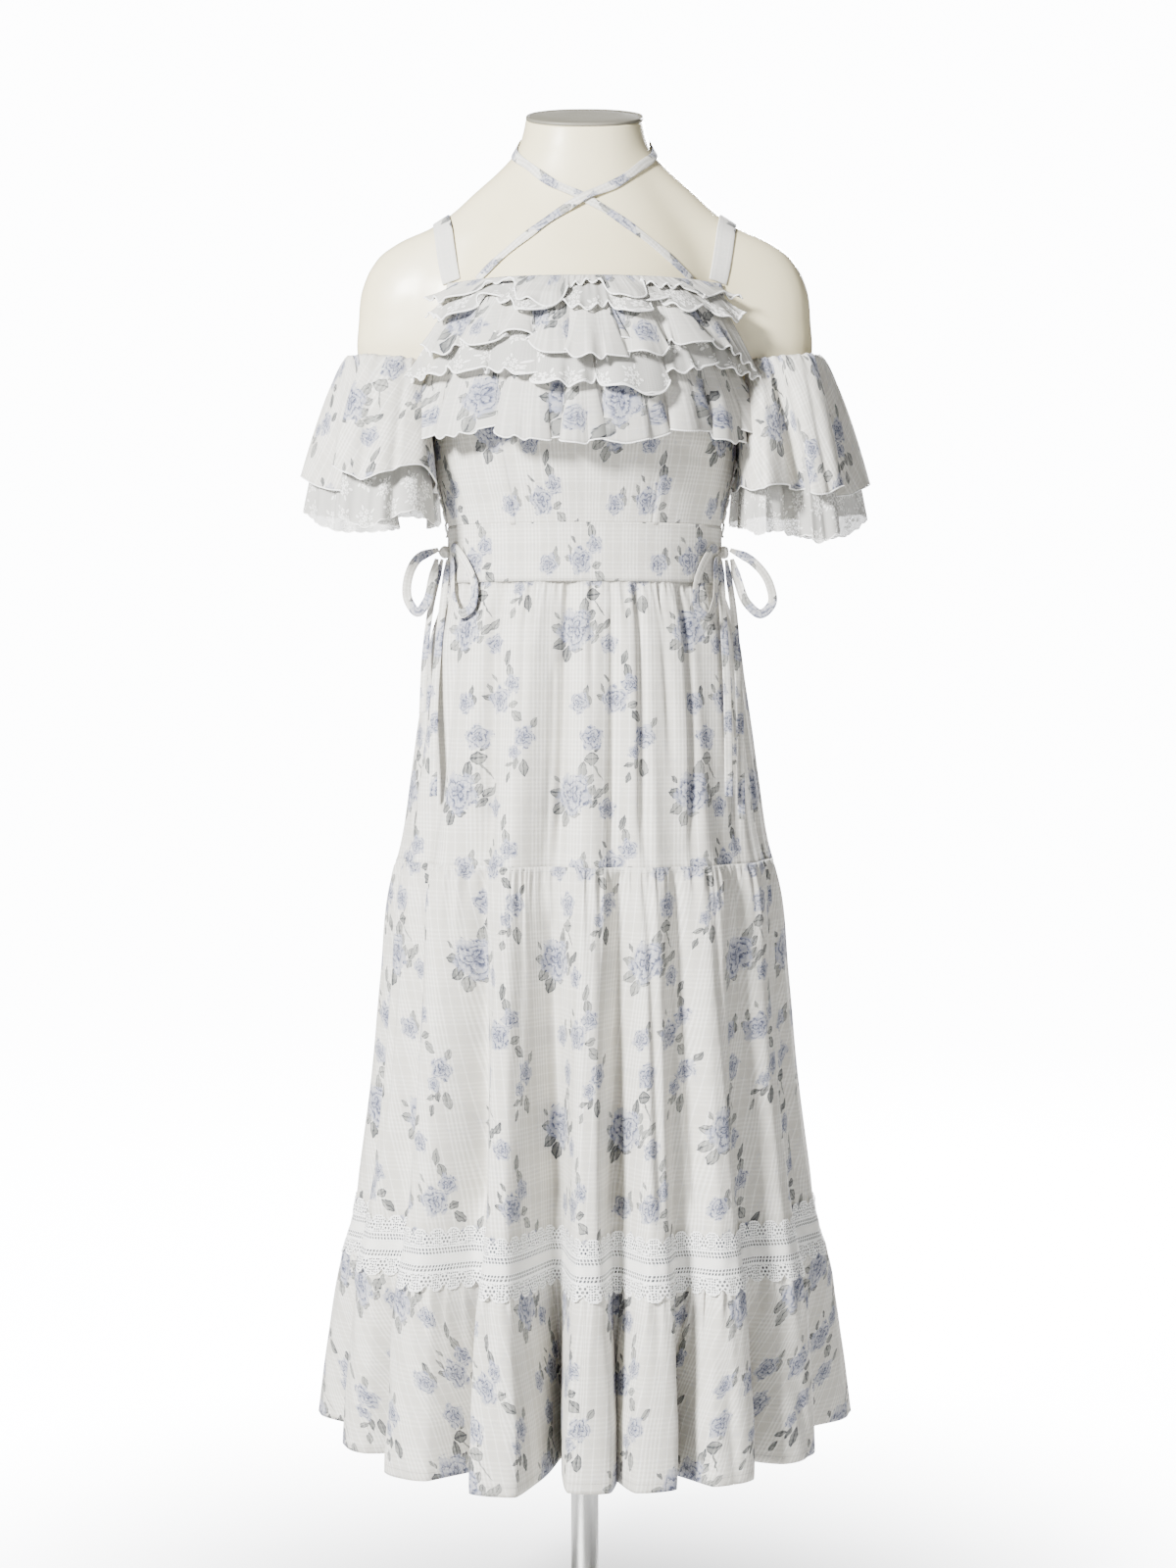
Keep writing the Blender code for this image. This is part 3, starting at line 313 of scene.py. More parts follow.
def camel(node):
    # skirt_tier1_front becomes skirtTier1Front
    first, *others = node.split("_")
    return first + "".join(part.capitalize() for part in others)


def finished(item, slot, *nodes):
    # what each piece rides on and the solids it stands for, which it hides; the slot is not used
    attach(item, "root")
    if nodes:
        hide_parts(*nodes)
    return item


def band(node, middle, across, facing, width, thickness, material, start=(0.0, 0.0)):
    # a flat band along a path
    rings = sweptRings(middle, across, facing, width, thickness, 16)
    return finished(closedLoft(camel(node), rings, material, start), "print_cotton", node)


def ridges(rng, flat, below, count, reach, widths, lengths, heights, widen=0.0, spread=0.35):
    # soft ridges that hang from a seam, over -reach..reach, each moved off its even place by a share of
    # the spacing: a bell across the cloth that widens and fades along its length
    even = (np.arange(count) + 0.5) / count * 2.0 - 1.0
    centres = (even + rng.uniform(-spread, spread, count) * 2.0 / count) * reach
    sizes = [rng.uniform(low, high, count) for low, high in (widths, lengths, heights)]
    total = np.zeros(np.broadcast(flat, below).shape)
    for centre, width, drop, height in zip(centres, *sizes):
        wide = width * (1.0 + widen * below / drop)
        total = total + height * limited(1.0 - below / drop) ** 1.5 * bell((flat - centre) / wide)
    return total


def creases(flat, up, rows):
    # soft troughs along short lines on the cloth: x and z of both ends, depth and width
    total = np.zeros(np.broadcast(flat, up).shape)
    for x0, z0, x1, z1, depth, width in rows:
        across, rise = x1 - x0, z1 - z0
        share = limited(((flat - x0) * across + (up - z0) * rise) / (across ** 2 + rise ** 2))
        away = np.hypot(flat - x0 - share * across, up - z0 - share * rise)
        total = total - depth * bell(away / width) * np.sin(np.pi * (0.12 + 0.76 * share))
    return total


# ---- shader helpers: each puts its node into the tree of the first socket that it is given
def isSocket(value):
    return isinstance(value, bpy.types.NodeSocket)


def treeOf(*values):
    # the node tree of the first socket among the values
    return next(value.id_data for value in values if isSocket(value))


def feed(socket, value):
    # a link from another socket, or a plain value
    if isSocket(value):
        socket.id_data.links.new(value, socket)
    else:
        socket.default_value = value


def put(tree, kind, settings=None, **sockets):
    # a socket is named with _ for a space, or by i and its number
    item = tree.nodes.new("ShaderNode" + kind)
    for key, value in (settings or {}).items():
        setattr(item, key, value)
    for key, value in sockets.items():
        feed(item.inputs[int(key[1:]) if key[1:].isdigit() else key.replace("_", " ")], value)
    return item


def calc(operation, *values, kind="Math", out=0):
    # one node of sums, with its result
    sockets = {f"i{number}": value for number, value in enumerate(values)}
    return put(treeOf(*values), kind, {"operation": operation}, **sockets).outputs[out]


def vector(operation, *values):
    # one sum on vectors
    return calc(operation, *values, kind="VectorMath")


def mathNode(operation):
    # a short name for one sum
    return lambda *values: calc(operation, *values)


plus, minus, times, over = map(mathNode, ("ADD", "SUBTRACT", "MULTIPLY", "DIVIDE"))
least, most, timesPlus, raised = map(mathNode, ("MINIMUM", "MAXIMUM", "MULTIPLY_ADD", "POWER"))
positive, sine, cosine, fraction = map(mathNode, ("ABSOLUTE", "SINE", "COSINE", "FRACT"))


def apart(value, place):
    return positive(minus(value, place))


def length(place):
    return calc("LENGTH", place, kind="VectorMath", out=1)


def span(across, up):
    # the root of the sum of both squares
    return length(put(treeOf(across, up), "CombineXYZ", X=across, Y=up).outputs[0])


def axes(place):
    # the place across and the place up
    return put(treeOf(place), "SeparateXYZ", i0=place).outputs[:2]


def scaled(value, size):
    # a vector times a size
    return put(treeOf(value), "VectorMath", {"operation": "SCALE"}, i0=value, Scale=size).outputs[0]


def edge(value, low, high, start=0.0, end=1.0):
    # smooth step from start to end while the value goes from low to high
    return put(treeOf(value), "MapRange", {"interpolation_type": "SMOOTHSTEP"}, Value=value, From_Min=low,
               From_Max=high, To_Min=start, To_Max=end).outputs[0]


def blend(share, first, second):
    # the first colour at share 0, the second at share 1
    return put(treeOf(share), "Mix", {"data_type": "RGBA"}, i0=share, i6=first, i7=second).outputs[2]


def noise(place, size, detail=2.0, rough=0.5, stretch=None, dimensions="3D", out=0):
    # soft noise at a scale, with the place stretched first
    place = vector("MULTIPLY", place, stretch) if stretch else place
    return put(treeOf(place), "TexNoise", {"noise_dimensions": dimensions}, Vector=place, Scale=size,
               Detail=detail, Roughness=rough).outputs[out]


def cells(place, size, randomness, feature="F1"):
    # the nearest of scattered points, one to a square of the size
    return put(treeOf(place), "TexVoronoi", {"voronoi_dimensions": "2D", "feature": feature}, Vector=place,
               Scale=1.0 / size, Randomness=randomness).outputs


def newGroup(name, inputs, outputs):
    # a node group with its named inputs and outputs
    tree = bpy.data.node_groups.new(name, "ShaderNodeTree")
    for side, sockets in (("INPUT", inputs), ("OUTPUT", outputs)):
        for label, kind in sockets.items():
            tree.interface.new_socket(label, in_out=side, socket_type="NodeSocket" + kind)
    return tree, tree.nodes.new("NodeGroupInput").outputs, tree.nodes.new("NodeGroupOutput").inputs


def useGroup(group, **sockets):
    # a node group put to use, with its inputs fed
    item = treeOf(*sockets.values()).nodes.new("ShaderNodeGroup")
    item.node_tree = group
    for key, value in sockets.items():
        feed(item.inputs[key], value)
    return item.outputs


def shade(r, g, b):
    # a display colour of 0 to 255 as a linear one
    part = [(value / 255.0) for value in (r, g, b)]
    return tuple(v / 12.92 if v < 0.04045 else ((v + 0.055) / 1.055) ** 2.4 for v in part) + (1.0,)


# ---- the flower print: one repeat charted, in mm of cloth
printLook = dict(
    width=118.0, height=143.0, wobble=3.2, bloomSize=1.44, leafLength=1.42, leafWidth=1.66,
    blooms=(  # across, up, radius, turn in degrees
        (30, 80, 14.5, 0), (64, 67, 7.2, 40), (35, 15, 7.8, 80), (70, 18, 10.0, 120), (85, 32, 7.0, 200),
        (48, 128, 8.8, 260), (99, 129, 8.2, 300), (89, 116, 5.2, 20)),
    leaves=(  # across, up, half length, half width, turn in degrees
        (12, 80, 5.4, 2.7, 170), (14, 67, 5.8, 3.3, 215), (21, 58, 5.8, 3.4, 250), (32, 62, 4.6, 1.9, 5),
        (39, 99, 6.8, 2.9, 80), (46, 92, 4.4, 2.4, 60), (11, 92, 3.2, 1.2, 130), (48, 82, 4.6, 2.2, 70),
        (55, 80, 4.6, 2.2, 50), (62, 84, 4.4, 2.0, 55), (50, 71, 4.0, 1.8, 45), (42, 25, 4.2, 1.8, 80),
        (45, 18, 3.6, 1.7, 100), (57, 20, 4.0, 1.8, 160), (58, 28, 3.8, 1.2, 110), (62, 37, 3.0, 1.0, 130),
        (79, 55, 5.4, 2.0, 75), (82, 43, 5.2, 2.7, 105), (91, 4, 5.0, 2.8, -40), (87, 14, 4.2, 2.2, 200),
        (53, 119, 3.2, 1.4, 45), (48, 110, 5.2, 3.5, 5), (53, 100, 8.5, 0.55, -55), (108, 141, 4.2, 1.9, 60),
        (84, 105, 3.8, 1.4, 20), (91, 106, 4.0, 1.6, 75), (83, 94, 3.8, 1.6, 70), (99, 102, 5.8, 2.8, 95)),
    deep=shade(50, 55, 78), pale=shade(134, 138, 156), leaf=shade(90, 93, 92), leafEdge=shade(42, 45, 50),
    scroll=shade(140, 148, 172))


def nearestShape(mm, look, rows):
    # the repeat is wrapped round each shape, then turned and divided by its half sizes; the nearest
    # shape's own coordinates are kept, and their length
    halfX, halfY = 0.5 * look["width"], 0.5 * look["height"]
    best = place = None
    for x, y, halfLength, halfWidth, turn in rows:
        wrapped = vector("WRAP", mm, (x + halfX, y + halfY, 1.0), (x - halfX, y - halfY, -1.0))
        local = put(treeOf(mm), "Mapping", {"vector_type": "TEXTURE"}, Vector=wrapped, Location=(x, y, 0.0),
                    Rotation=(0.0, 0.0, math.radians(turn)), Scale=(halfLength, halfWidth, 1.0)).outputs[0]
        away = length(local)
        if best is None:
            best, place = away, local
            continue
        closer = calc("LESS_THAN", away, best)
        place = put(treeOf(mm), "Mix", {"data_type": "VECTOR"}, i0=closer, i4=place, i5=local).outputs[1]
        best = least(best, away)
    return place, best


def flowerPrint(look):
    # a bloom is a lobed disc with curling petal edges, a leaf a pointed oval with an outline and a rib
    tree, given, result = newGroup("flowerPrint", {"Cloth": "Vector"}, {"Colour": "Color", "Amount": "Float"})
    mm = vector("MULTIPLY", given[0], (1000.0, 1000.0, 0.0))
    wander = vector("SUBTRACT", noise(mm, 0.19, dimensions="2D", out=1), (0.5, 0.5, 0.5))
    mm = vector("MULTIPLY", vector("ADD", mm, scaled(wander, look["wobble"])), (1.0, 1.0, 0.0))
    wash = noise(mm, 0.42, 3.0, 0.65, dimensions="2D")
    slow, drift = (noise(mm, size, 1.0, dimensions="2D") for size in (0.034, 0.062))
    grown = [(x, y, look["bloomSize"] * r, look["bloomSize"] * r, turn) for x, y, r, turn in look["blooms"]]
    bloom, radius = nearestShape(mm, look, grown)
    x, y = axes(bloom)
    angle = calc("ARCTAN2", y, x)
    ruffle = sine(timesPlus(radius, 4.0, times(angle, 5.0)))
    rim = plus(timesPlus(ruffle, 0.10, 0.86), timesPlus(wash, 0.5, -0.25))
    disc = edge(minus(rim, radius), -0.03, 0.08)
    curl = sine(timesPlus(radius, 5.0, times(angle, 3.0)))
    petals = fraction(plus(plus(times(radius, 3.0), times(curl, 0.40)), wash))
    streaks = sine(timesPlus(angle, 17.0, times(wash, 9.0)))
    deep = plus(edge(petals, 0.55, 0.0), times(streaks, 0.20))
    deep = plus(plus(deep, edge(radius, 0.75, 0.0, -0.18, 0.42)), timesPlus(wash, 1.1, -0.62))
    petalColour = blend(edge(deep, -0.15, 1.15), look["pale"], look["deep"])
    grown = [(x, y, look["leafLength"] * long, look["leafWidth"] * wide, turn)
             for x, y, long, wide, turn in look["leaves"]]
    along, side = axes(nearestShape(mm, look, grown)[0])
    side = positive(side)
    shape = minus(minus(1.0, raised(along, 2.0)), side)
    green = edge(shape, -0.03, 0.10)
    line = most(edge(shape, 0.34, 0.05), edge(side, 0.16, 0.03))
    line = plus(times(line, edge(wash, 0.30, 0.62, 0.25, 1.0)), edge(slow, 0.42, 0.62, -0.10, 0.45))
    leafColour = blend(edge(line, 0.0, 1.0), look["leaf"], look["leafEdge"])
    # faint scrolls between the sprays, along the level lines of a slow noise
    scroll = times(edge(apart(drift, 0.57), 0.020, 0.006), edge(wash, 0.40, 0.60, 0.15, 1.0))
    petalAmount = times(disc, edge(deep, -0.35, 0.5, 0.56, 1.0))
    leafAmount = times(green, edge(line, 0.0, 0.8, 0.74, 1.0))
    feed(result[0], blend(disc, blend(green, look["scroll"], leafColour), petalColour))
    feed(result[1], most(most(petalAmount, leafAmount), times(scroll, 0.22)))
    return tree


# ---- the woven check: clusters of closer threads both ways, given in mm from the repeat's start
checkLook = dict(repeats=(35.0, 33.0), threads=0.62, level=0.55, soft=0.35, firm=0.1,
                 stripes=((1.0, 1.5), (4.7, 1.5), (8.4, 1.5), (12.1, 1.5), (15.8, 1.5), (25.5, 1.0)))


def wovenCheck(look):
    # bands of closer threads both ways, uneven with noise; fine threads are a product of two sines
    tree, given, result = newGroup("wovenCheck", {"Cloth": "Vector"}, {"Bands": "Float", "Height": "Float"})
    mm = scaled(given[0], 1000.0)
    sides, found = axes(mm), []
    for side, repeat in zip(sides, look["repeats"]):
        ramp = put(tree, "ValToRGB", i0=fraction(over(side, repeat)))
        bar = ramp.color_ramp
        bar.elements[0].color = bar.elements[1].color = (0.0, 0.0, 0.0, 1.0)
        for start, width in look["stripes"]:
            end = start + width
            for place, value in ((start - look["soft"], 0.0), (start + look["firm"], 1.0),
                                 (end - look["firm"], 1.0), (end + look["soft"], 0.0)):
                bar.elements.new(place / repeat).color = (value, value, value, 1.0)
        found.append(ramp.outputs[0])
    bands = plus(times(most(found[0], times(found[1], look["level"])), 0.62), times(times(*found), 0.38))
    slubs = plus(noise(mm, 1.0, stretch=(0.12, 1.9, 1.0)), noise(mm, 1.0, stretch=(1.9, 0.12, 1.0)))
    bands = plus(bands, times(minus(slubs, 1.0), 0.55))
    fine = times(*(sine(times(side, 2.0 * math.pi / look["threads"])) for side in sides))
    feed(result[0], bands)
    feed(result[1], plus(bands, times(fine, 0.12)))
    return tree


def stitchLine():
    # dashes of a sewing thread along a line: across is the distance to the line, in metres
    tree, given, result = newGroup("stitchLine", {"Across": "Float", "Along": "Float"}, {"Thread": "Float"})
    near = edge(positive(given[0]), 0.00055, 0.00020)
    dash = apart(fraction(over(given[1], 0.0026)), 0.5)
    feed(result[0], times(near, edge(dash, 0.42, 0.34)))
    return tree


def clothCreases():
    # the unevenness of worn cotton: slow creases, longer up the cloth than across it, and a fine crinkle
    tree, given, result = newGroup("clothCreases", {"Cloth": "Vector"}, {"Height": "Float"})
    slow = noise(given[0], 62.0, 3.0, 0.55, (1.0, 0.45, 1.0))
    feed(result[0], plus(times(slow, 0.0016), times(noise(given[0], 240.0), 0.00022)))
    return tree


printGroup = flowerPrint(printLook)
checkGroup = wovenCheck(checkLook)
stitchGroup = stitchLine()
creaseGroup = clothCreases()

clothLook = dict(ground=shade(189, 186, 177), band=shade(218, 216, 209), roughness=0.82, sheen=0.08)
# the ruffles' cotton is painted darker than the same cloth elsewhere: painted shade, as of sheer cloth over
# shaded layers
ruffleShadedLook = dict(clothLook, ground=shade(186, 184, 177), band=shade(199, 197, 191))
strapCloth = dict(clothLook, ground=shade(198, 196, 189), band=shade(204, 202, 196))
# stitch dashes and seam lines are painted darker than the cloth: painted shade of the small pleats along a
# seam and in its groove
stitchShade, seamShade = shade(150, 149, 146), shade(140, 140, 142)


def newMaterial(name):
    # a material and its node tree
    material = bpy.data.materials.new(name)
    material.use_nodes = True
    return material, material.node_tree


def clothMaterial(name):
    # a material and the place on the cloth in metres
    material, tree = newMaterial(name)
    return material, put(tree, "UVMap", {"uv_map": "cloth"}).outputs[0]


def dressed(material, height=None, **sockets):
    # what feeds the Principled shader; a height in metres bends its normal
    tree = material.node_tree
    if height is not None:
        sockets["Normal"] = put(tree, "Bump", Height=height, Strength=1.0, Distance=1.0).outputs[0]
    for key, value in sockets.items():
        feed(tree.nodes["Principled BSDF"].inputs[key.replace("_", " ")], value)
    return material


def printedCotton(name, look=clothLook, sheer=1.0, stitches=(), sideStitches=(), seams=(), creaseSize=0.5):
    # printed cotton: sheer is the opacity between the bands; stitches are at heights (v), side
    # stitches and seams at places across (u) of the piece's own cloth, in metres
    material, uv = clothMaterial(name)
    flowers, check = useGroup(printGroup, Cloth=uv), useGroup(checkGroup, Cloth=uv)
    amount = times(flowers[1], edge(check[0], 0.0, 1.2, 0.96, 0.78))
    colour = blend(amount, blend(check[0], look["ground"], look["band"]), flowers[0])
    height = times(check[1], 0.00009)
    sides = axes(uv)
    for side, place in [(1, place) for place in stitches] + [(0, place) for place in sideStitches]:
        thread = useGroup(stitchGroup, Across=minus(sides[side], place), Along=sides[1 - side])[0]
        height = plus(height, times(thread, 0.00022))
        # the stitch dashes are a raised sewing thread whose darker colour is painted shade of the small
        # pleats beside the stitching
        colour = blend(times(thread, 0.4), colour, stitchShade)
    for place in seams:
        line = edge(apart(sides[0], place), 0.0022, 0.0)
        height = minus(height, times(line, 0.0006))
        # the seam line is painted darker: painted shade in the seam's groove
        colour = blend(times(raised(line, 4.0), 0.35), colour, seamShade)
    height = plus(height, times(useGroup(creaseGroup, Cloth=uv)[0], creaseSize))
    if sheer < 1.0:
        dressed(material, Alpha=most(edge(check[0], 0.1, 0.8, sheer, 1.0), flowers[1]))
    return dressed(material, height, Base_Color=colour, Roughness=look["roughness"],
                   Sheen_Weight=look["sheen"], Specular_IOR_Level=0.25)


# ---- white embroidery: clusters of a middle flower, five smaller ones round it and small leaves
def pointedFlower(across, up, size):
    # five petals: the rim swings between a small and a full radius, with a hole in the middle
    radius = span(across, up)
    petal = positive(sine(times(calc("ARCTAN2", up, across), 2.5)))
    rim = timesPlus(petal, 0.60 * size, 0.42 * size)
    return minus(edge(minus(rim, radius), 0.0, 0.35), times(edge(radius, 0.8, 0.45), 0.75))


def embroideredFlowers():
    # flowers at scattered points: the angle is folded into five, so one petal is drawn
    tree, given, result = newGroup("embroideredFlowers", {"Cloth": "Vector"},
                                   {"Thread": "Float", "Height": "Float"})
    mm, part = scaled(given[0], 1000.0), math.pi / 5.0
    found = cells(mm, 23.0, 0.6)
    away = vector("SUBTRACT", mm, found["Position"])
    chance = put(tree, "SeparateColor", i0=found["Color"]).outputs[0]
    x, y = axes(away)
    radius = length(away)
    angle = timesPlus(chance, 6.0, calc("ARCTAN2", y, x))
    folded = calc("WRAP", angle, part, -part)
    across, up = timesPlus(radius, cosine(folded), -5.0), times(radius, sine(folded))
    turned = calc("WRAP", plus(angle, part), part, -part)
    long = over(timesPlus(radius, cosine(turned), -8.2), 2.4)
    wide = times(times(radius, sine(turned)), 0.9)
    thread = most(pointedFlower(across, up, 2.6), pointedFlower(x, y, 3.0))
    thread = most(thread, edge(span(long, wide), 1.0, 0.8))
    satin = sine(times(plus(across, up), 7.0))
    feed(result[0], thread)
    feed(result[1], times(thread, timesPlus(satin, 0.2, 0.8)))
    return tree


embroideryGroup = embroideredFlowers()

netLook = dict(colour=shade(174, 173, 168), thread=shade(236, 235, 231), veil=0.82, mesh=1.15, scallop=0.0120,
               scallopDepth=0.0011, binding=0.0012)


def embroideredNet(name, look):
    # sheer net: v runs up from the hem, whose edge is a row of scallops bound in satin stitch
    material, uv = clothMaterial(name)
    across, up = axes(uv)
    flowers = useGroup(embroideryGroup, Cloth=uv)
    net = edge(cells(scaled(uv, 1000.0), look["mesh"], 0.25, "DISTANCE_TO_EDGE")["Distance"], 0.22, 0.08)
    wave = raised(positive(sine(times(across, math.pi / look["scallop"]))), 0.7)
    border = minus(up, timesPlus(wave, -look["scallopDepth"], look["scallopDepth"]))
    bound = edge(border, look["binding"], look["binding"] - 0.0005)
    thread = most(flowers[0], bound)
    veil = timesPlus(net, 1.0 - look["veil"], look["veil"])
    return dressed(material, times(most(flowers[1], bound), 0.0004), Roughness=0.75, Specular_IOR_Level=0.2,
                   Base_Color=blend(thread, look["colour"], look["thread"]),
                   Alpha=times(most(thread, veil), edge(border, -0.0001, 0.0003)))


# shadow is the dark grey painted in the lace's holes, a painted shadow of the cloth under the lace; veil is
# how opaque the holes are
laceLook = dict(plain=0.0036, ladder=0.0100, reach=0.0262, depth=0.0060, scallop=0.0165, middle=0.0170,
                ring=0.0034, hole=0.0011, colour=shade(238, 238, 235), shadow=shade(118, 120, 126), veil=0.42)


def laceLadder(look, away, along):
    # slanting bars between two cords
    bars = fraction(plus(over(along, 0.0030), over(away, 0.0100)))
    bars = edge(apart(bars, 0.5), 0.26, 0.16)
    found = edge(apart(away, look["ladder"]), 0.0010, 0.0006)
    for place in (look["plain"] + 0.0004, 0.5 * (look["plain"] + look["ladder"])):
        found = most(found, edge(apart(away, place), 0.0007, 0.0003))
    return most(found, times(bars, edge(away, look["ladder"], look["ladder"] - 0.0003)))


def laceFlowers(look, away, along, mm):
    # one flower to a scallop: a ring of six round holes about a middle one, in a close net of small holes
    pitch, part = look["scallop"], math.pi / 6.0
    across = times(minus(fraction(over(along, pitch)), 0.5), pitch)
    up = minus(away, look["middle"])
    radius = span(across, up)
    folded = calc("WRAP", calc("ARCTAN2", up, across), part, -part)
    spot = span(timesPlus(radius, cosine(folded), -look["ring"]), times(radius, sine(folded)))
    holes = edge(least(spot, radius), look["hole"] + 0.0001, look["hole"] - 0.0002)
    small = times(edge(cells(mm, 2.1, 0.35)["Distance"], 0.36, 0.26), edge(radius, 0.0052, 0.0056))
    return minus(1.0, most(holes, small))


def scallopedLace(name, look):
    # lace of a plain band, a ladder on each side of it and flowered net out to scalloped edges;
    # v is the distance from the middle of the band; its holes hold a half-opaque fine net painted dark
    # grey, a painted shadow of the cloth under the lace
    material, uv = clothMaterial(name)
    along, away = axes(uv)
    mm, away = scaled(uv, 1000.0), positive(away)
    plain = edge(away, look["plain"] + 0.0002, look["plain"] - 0.0002)
    wave = positive(cosine(times(along, math.pi / look["scallop"])))
    wave = raised(minus(1.0, wave), 1.4)
    picots = positive(sine(times(along, math.pi / 0.0028)))
    outline = plus(timesPlus(wave, -look["depth"], look["reach"] - 0.0009), times(picots, 0.0009))
    border = minus(outline, away)
    outer = most(laceFlowers(look, away, along, mm), edge(border, 0.0017, 0.0012))
    outer = times(outer, edge(away, look["ladder"] - 0.0002, look["ladder"] + 0.0002))
    thread = most(most(plain, laceLadder(look, away, along)), outer)
    colour = blend(times(plain, 0.75), look["colour"], clothLook["band"])
    opacity = times(timesPlus(thread, 1.0 - look["veil"], look["veil"]), edge(border, 0.0, 0.0003))
    # the holes take the painted shadow colour
    return dressed(material, times(timesPlus(noise(mm, 2.2), 0.5, thread), 0.0005), Alpha=opacity,
                   Base_Color=blend(thread, look["shadow"], colour), Roughness=0.8, Specular_IOR_Level=0.2)


def whiteThread(name):
    # rolled edges and laces: twisted white thread
    material, uv = clothMaterial(name)
    u, v = axes(uv)
    twist = sine(plus(times(u, 1400.0), times(v, 3200.0)))
    tone = blend(edge(twist, -1.0, 1.0), shade(232, 232, 229), shade(248, 248, 246))
    return dressed(material, times(twist, 0.00010), Base_Color=tone, Roughness=0.6)


def formFinish(name, colour, darker, roughness, coat):
    # moulded form: satin gloss with faint unevenness in tone and polish
    material, tree = newMaterial(name)
    place = put(tree, "TexCoord").outputs["Object"]
    tone = blend(edge(noise(place, 9.0, 3.0), 0.35, 0.7), darker, colour)
    polish = edge(noise(place, 60.0, 3.0), 0.3, 0.7, roughness - 0.04, roughness + 0.05)
    return dressed(material, times(noise(place, 26.0), 0.0004), Base_Color=tone, Roughness=polish,
                   Coat_Weight=coat, Coat_Roughness=0.16)


def brushedSteel(name):
    # noise drawn out along the axis varies tone and roughness
    material, tree = newMaterial(name)
    grain = noise(put(tree, "TexCoord").outputs["Object"], 260.0, stretch=(1.0, 1.0, 0.04))
    tone = blend(edge(grain, 0.3, 0.7), shade(196, 196, 195), shade(208, 208, 206))
    return dressed(material, Base_Color=tone, Roughness=edge(grain, 0.3, 0.7, 0.34, 0.42), Metallic=1.0)


cottonPlain = printedCotton("printedCotton")
# the sheer ruffle cotton, in the darker painted-shade colours
cottonSheer = printedCotton("printedCottonSheer", ruffleShadedLook, sheer=0.92, creaseSize=0.7)
cottonRibbon = printedCotton("printedCottonRibbon", creaseSize=0.4, sideStitches=(0.0267, 0.0327))
cottonStrap = printedCotton("printedCottonStrap", strapCloth, creaseSize=0.5, sideStitches=(0.1022, 0.1150))
ribbonCut, strapCut = (cottonRibbon, (0.0255, 0.0)), (cottonStrap, (0.1000, 0.0))     # where in the print
netMaterial = embroideredNet("embroideredNet", netLook)
laceMaterial = scallopedLace("scallopedLace", laceLook)
threadMaterial = whiteThread("whiteThread")
shellMaterial = formFinish("formShell", shade(224, 214, 180), shade(219, 208, 172), 0.40, 0.16)
capMaterial = formFinish("formCap", shade(116, 113, 102), shade(110, 107, 95), 0.55, 0.0)
steelMaterial = brushedSteel("brushedSteel")
print("materials made")

# ---- the form: body and shoulders as two rounded ovals, blended where they meet
formSizes = dict(
    topZ=1.405, squareness=2.2, shoulderSquareness=2.8, blend=12.0, tilt=math.tan(math.radians(18.0)),
    tiltStartZ=1.345, gap=0.0003, columns=148,
    rows=((0.705, 0.720, 6), (0.720, 1.140, 26), (1.140, 1.170, 22), (1.170, 1.405, 86)),   # from, to, count
    cap=(  # share of the neck's ring, rise over the gap
        (0.995, 0.0), (1.0, 0.0004), (1.0, 0.0020), (0.990, 0.0028), (0.970, 0.0030), (0.950, 0.0028),
        (0.940, 0.0021), (0.930, 0.0024), (0.60, 0.0025), (0.25, 0.0025)),
    stand=(  # node, columns, profile of radius and height
        ("form_pole", 72, ((0.0118, 0.0123), (0.0125, 0.0132), (0.0125, 0.7036), (0.0120, 0.7047))),
        ("form_base", 144, ((0.1735, 0.0), (0.1750, 0.0012), (0.1750, 0.0090), (0.1740, 0.0106),
                            (0.1720, 0.0118), (0.1690, 0.0120), (0.0300, 0.0120), (0.0200, 0.0120)))))
formSections = (  # height, half width, front depth, back depth
    (0.705, 0.134, 0.097, 0.104), (0.72, 0.141, 0.102, 0.112), (0.8, 0.145, 0.104, 0.118),
    (0.86, 0.141, 0.102, 0.113), (0.93, 0.129, 0.095, 0.097), (0.98, 0.118, 0.088, 0.083),
    (1.01, 0.1155, 0.086, 0.08), (1.05, 0.12, 0.092, 0.081), (1.1, 0.128, 0.105, 0.087),
    (1.15, 0.132, 0.117, 0.092), (1.2, 0.131, 0.112, 0.094), (1.25, 0.124, 0.097, 0.09),
    (1.29, 0.108, 0.079, 0.08), (1.32, 0.088, 0.066, 0.072), (1.345, 0.071, 0.059, 0.066),
    (1.37, 0.0605, 0.056, 0.061), (1.39, 0.056, 0.0545, 0.058), (1.405, 0.0535, 0.0535, 0.056))
shoulderSections = (  # height, half width, half depth
    (1.144, 0.07, 0.03), (1.149, 0.15, 0.036), (1.156, 0.184, 0.041), (1.167, 0.201, 0.046),
    (1.19, 0.207, 0.05), (1.217, 0.206, 0.052), (1.25, 0.202, 0.051), (1.27, 0.193, 0.048),
    (1.281, 0.184, 0.046), (1.292, 0.167, 0.045), (1.303, 0.142, 0.044), (1.314, 0.125, 0.043),
    (1.335, 0.101, 0.042), (1.357, 0.076, 0.04), (1.378, 0.056, 0.036), (1.405, 0.04, 0.03))


def formRadius(angle, height):
    # the n-th root of the sum of n-th powers, which is the larger oval with a soft join
    halfWidth, front, back = sectionAt(formSections, height)
    body = ovalRadius(angle, halfWidth, front, back, formSizes["squareness"])
    wide, deep = sectionAt(shoulderSections, height)
    shoulders = ovalRadius(angle, wide, deep, deep, formSizes["shoulderSquareness"])
    shoulders = np.where(height < shoulderSections[0][0], 0.0, shoulders)
    power = formSizes["blend"]
    return (body ** power + shoulders ** power) ** (1.0 / power)


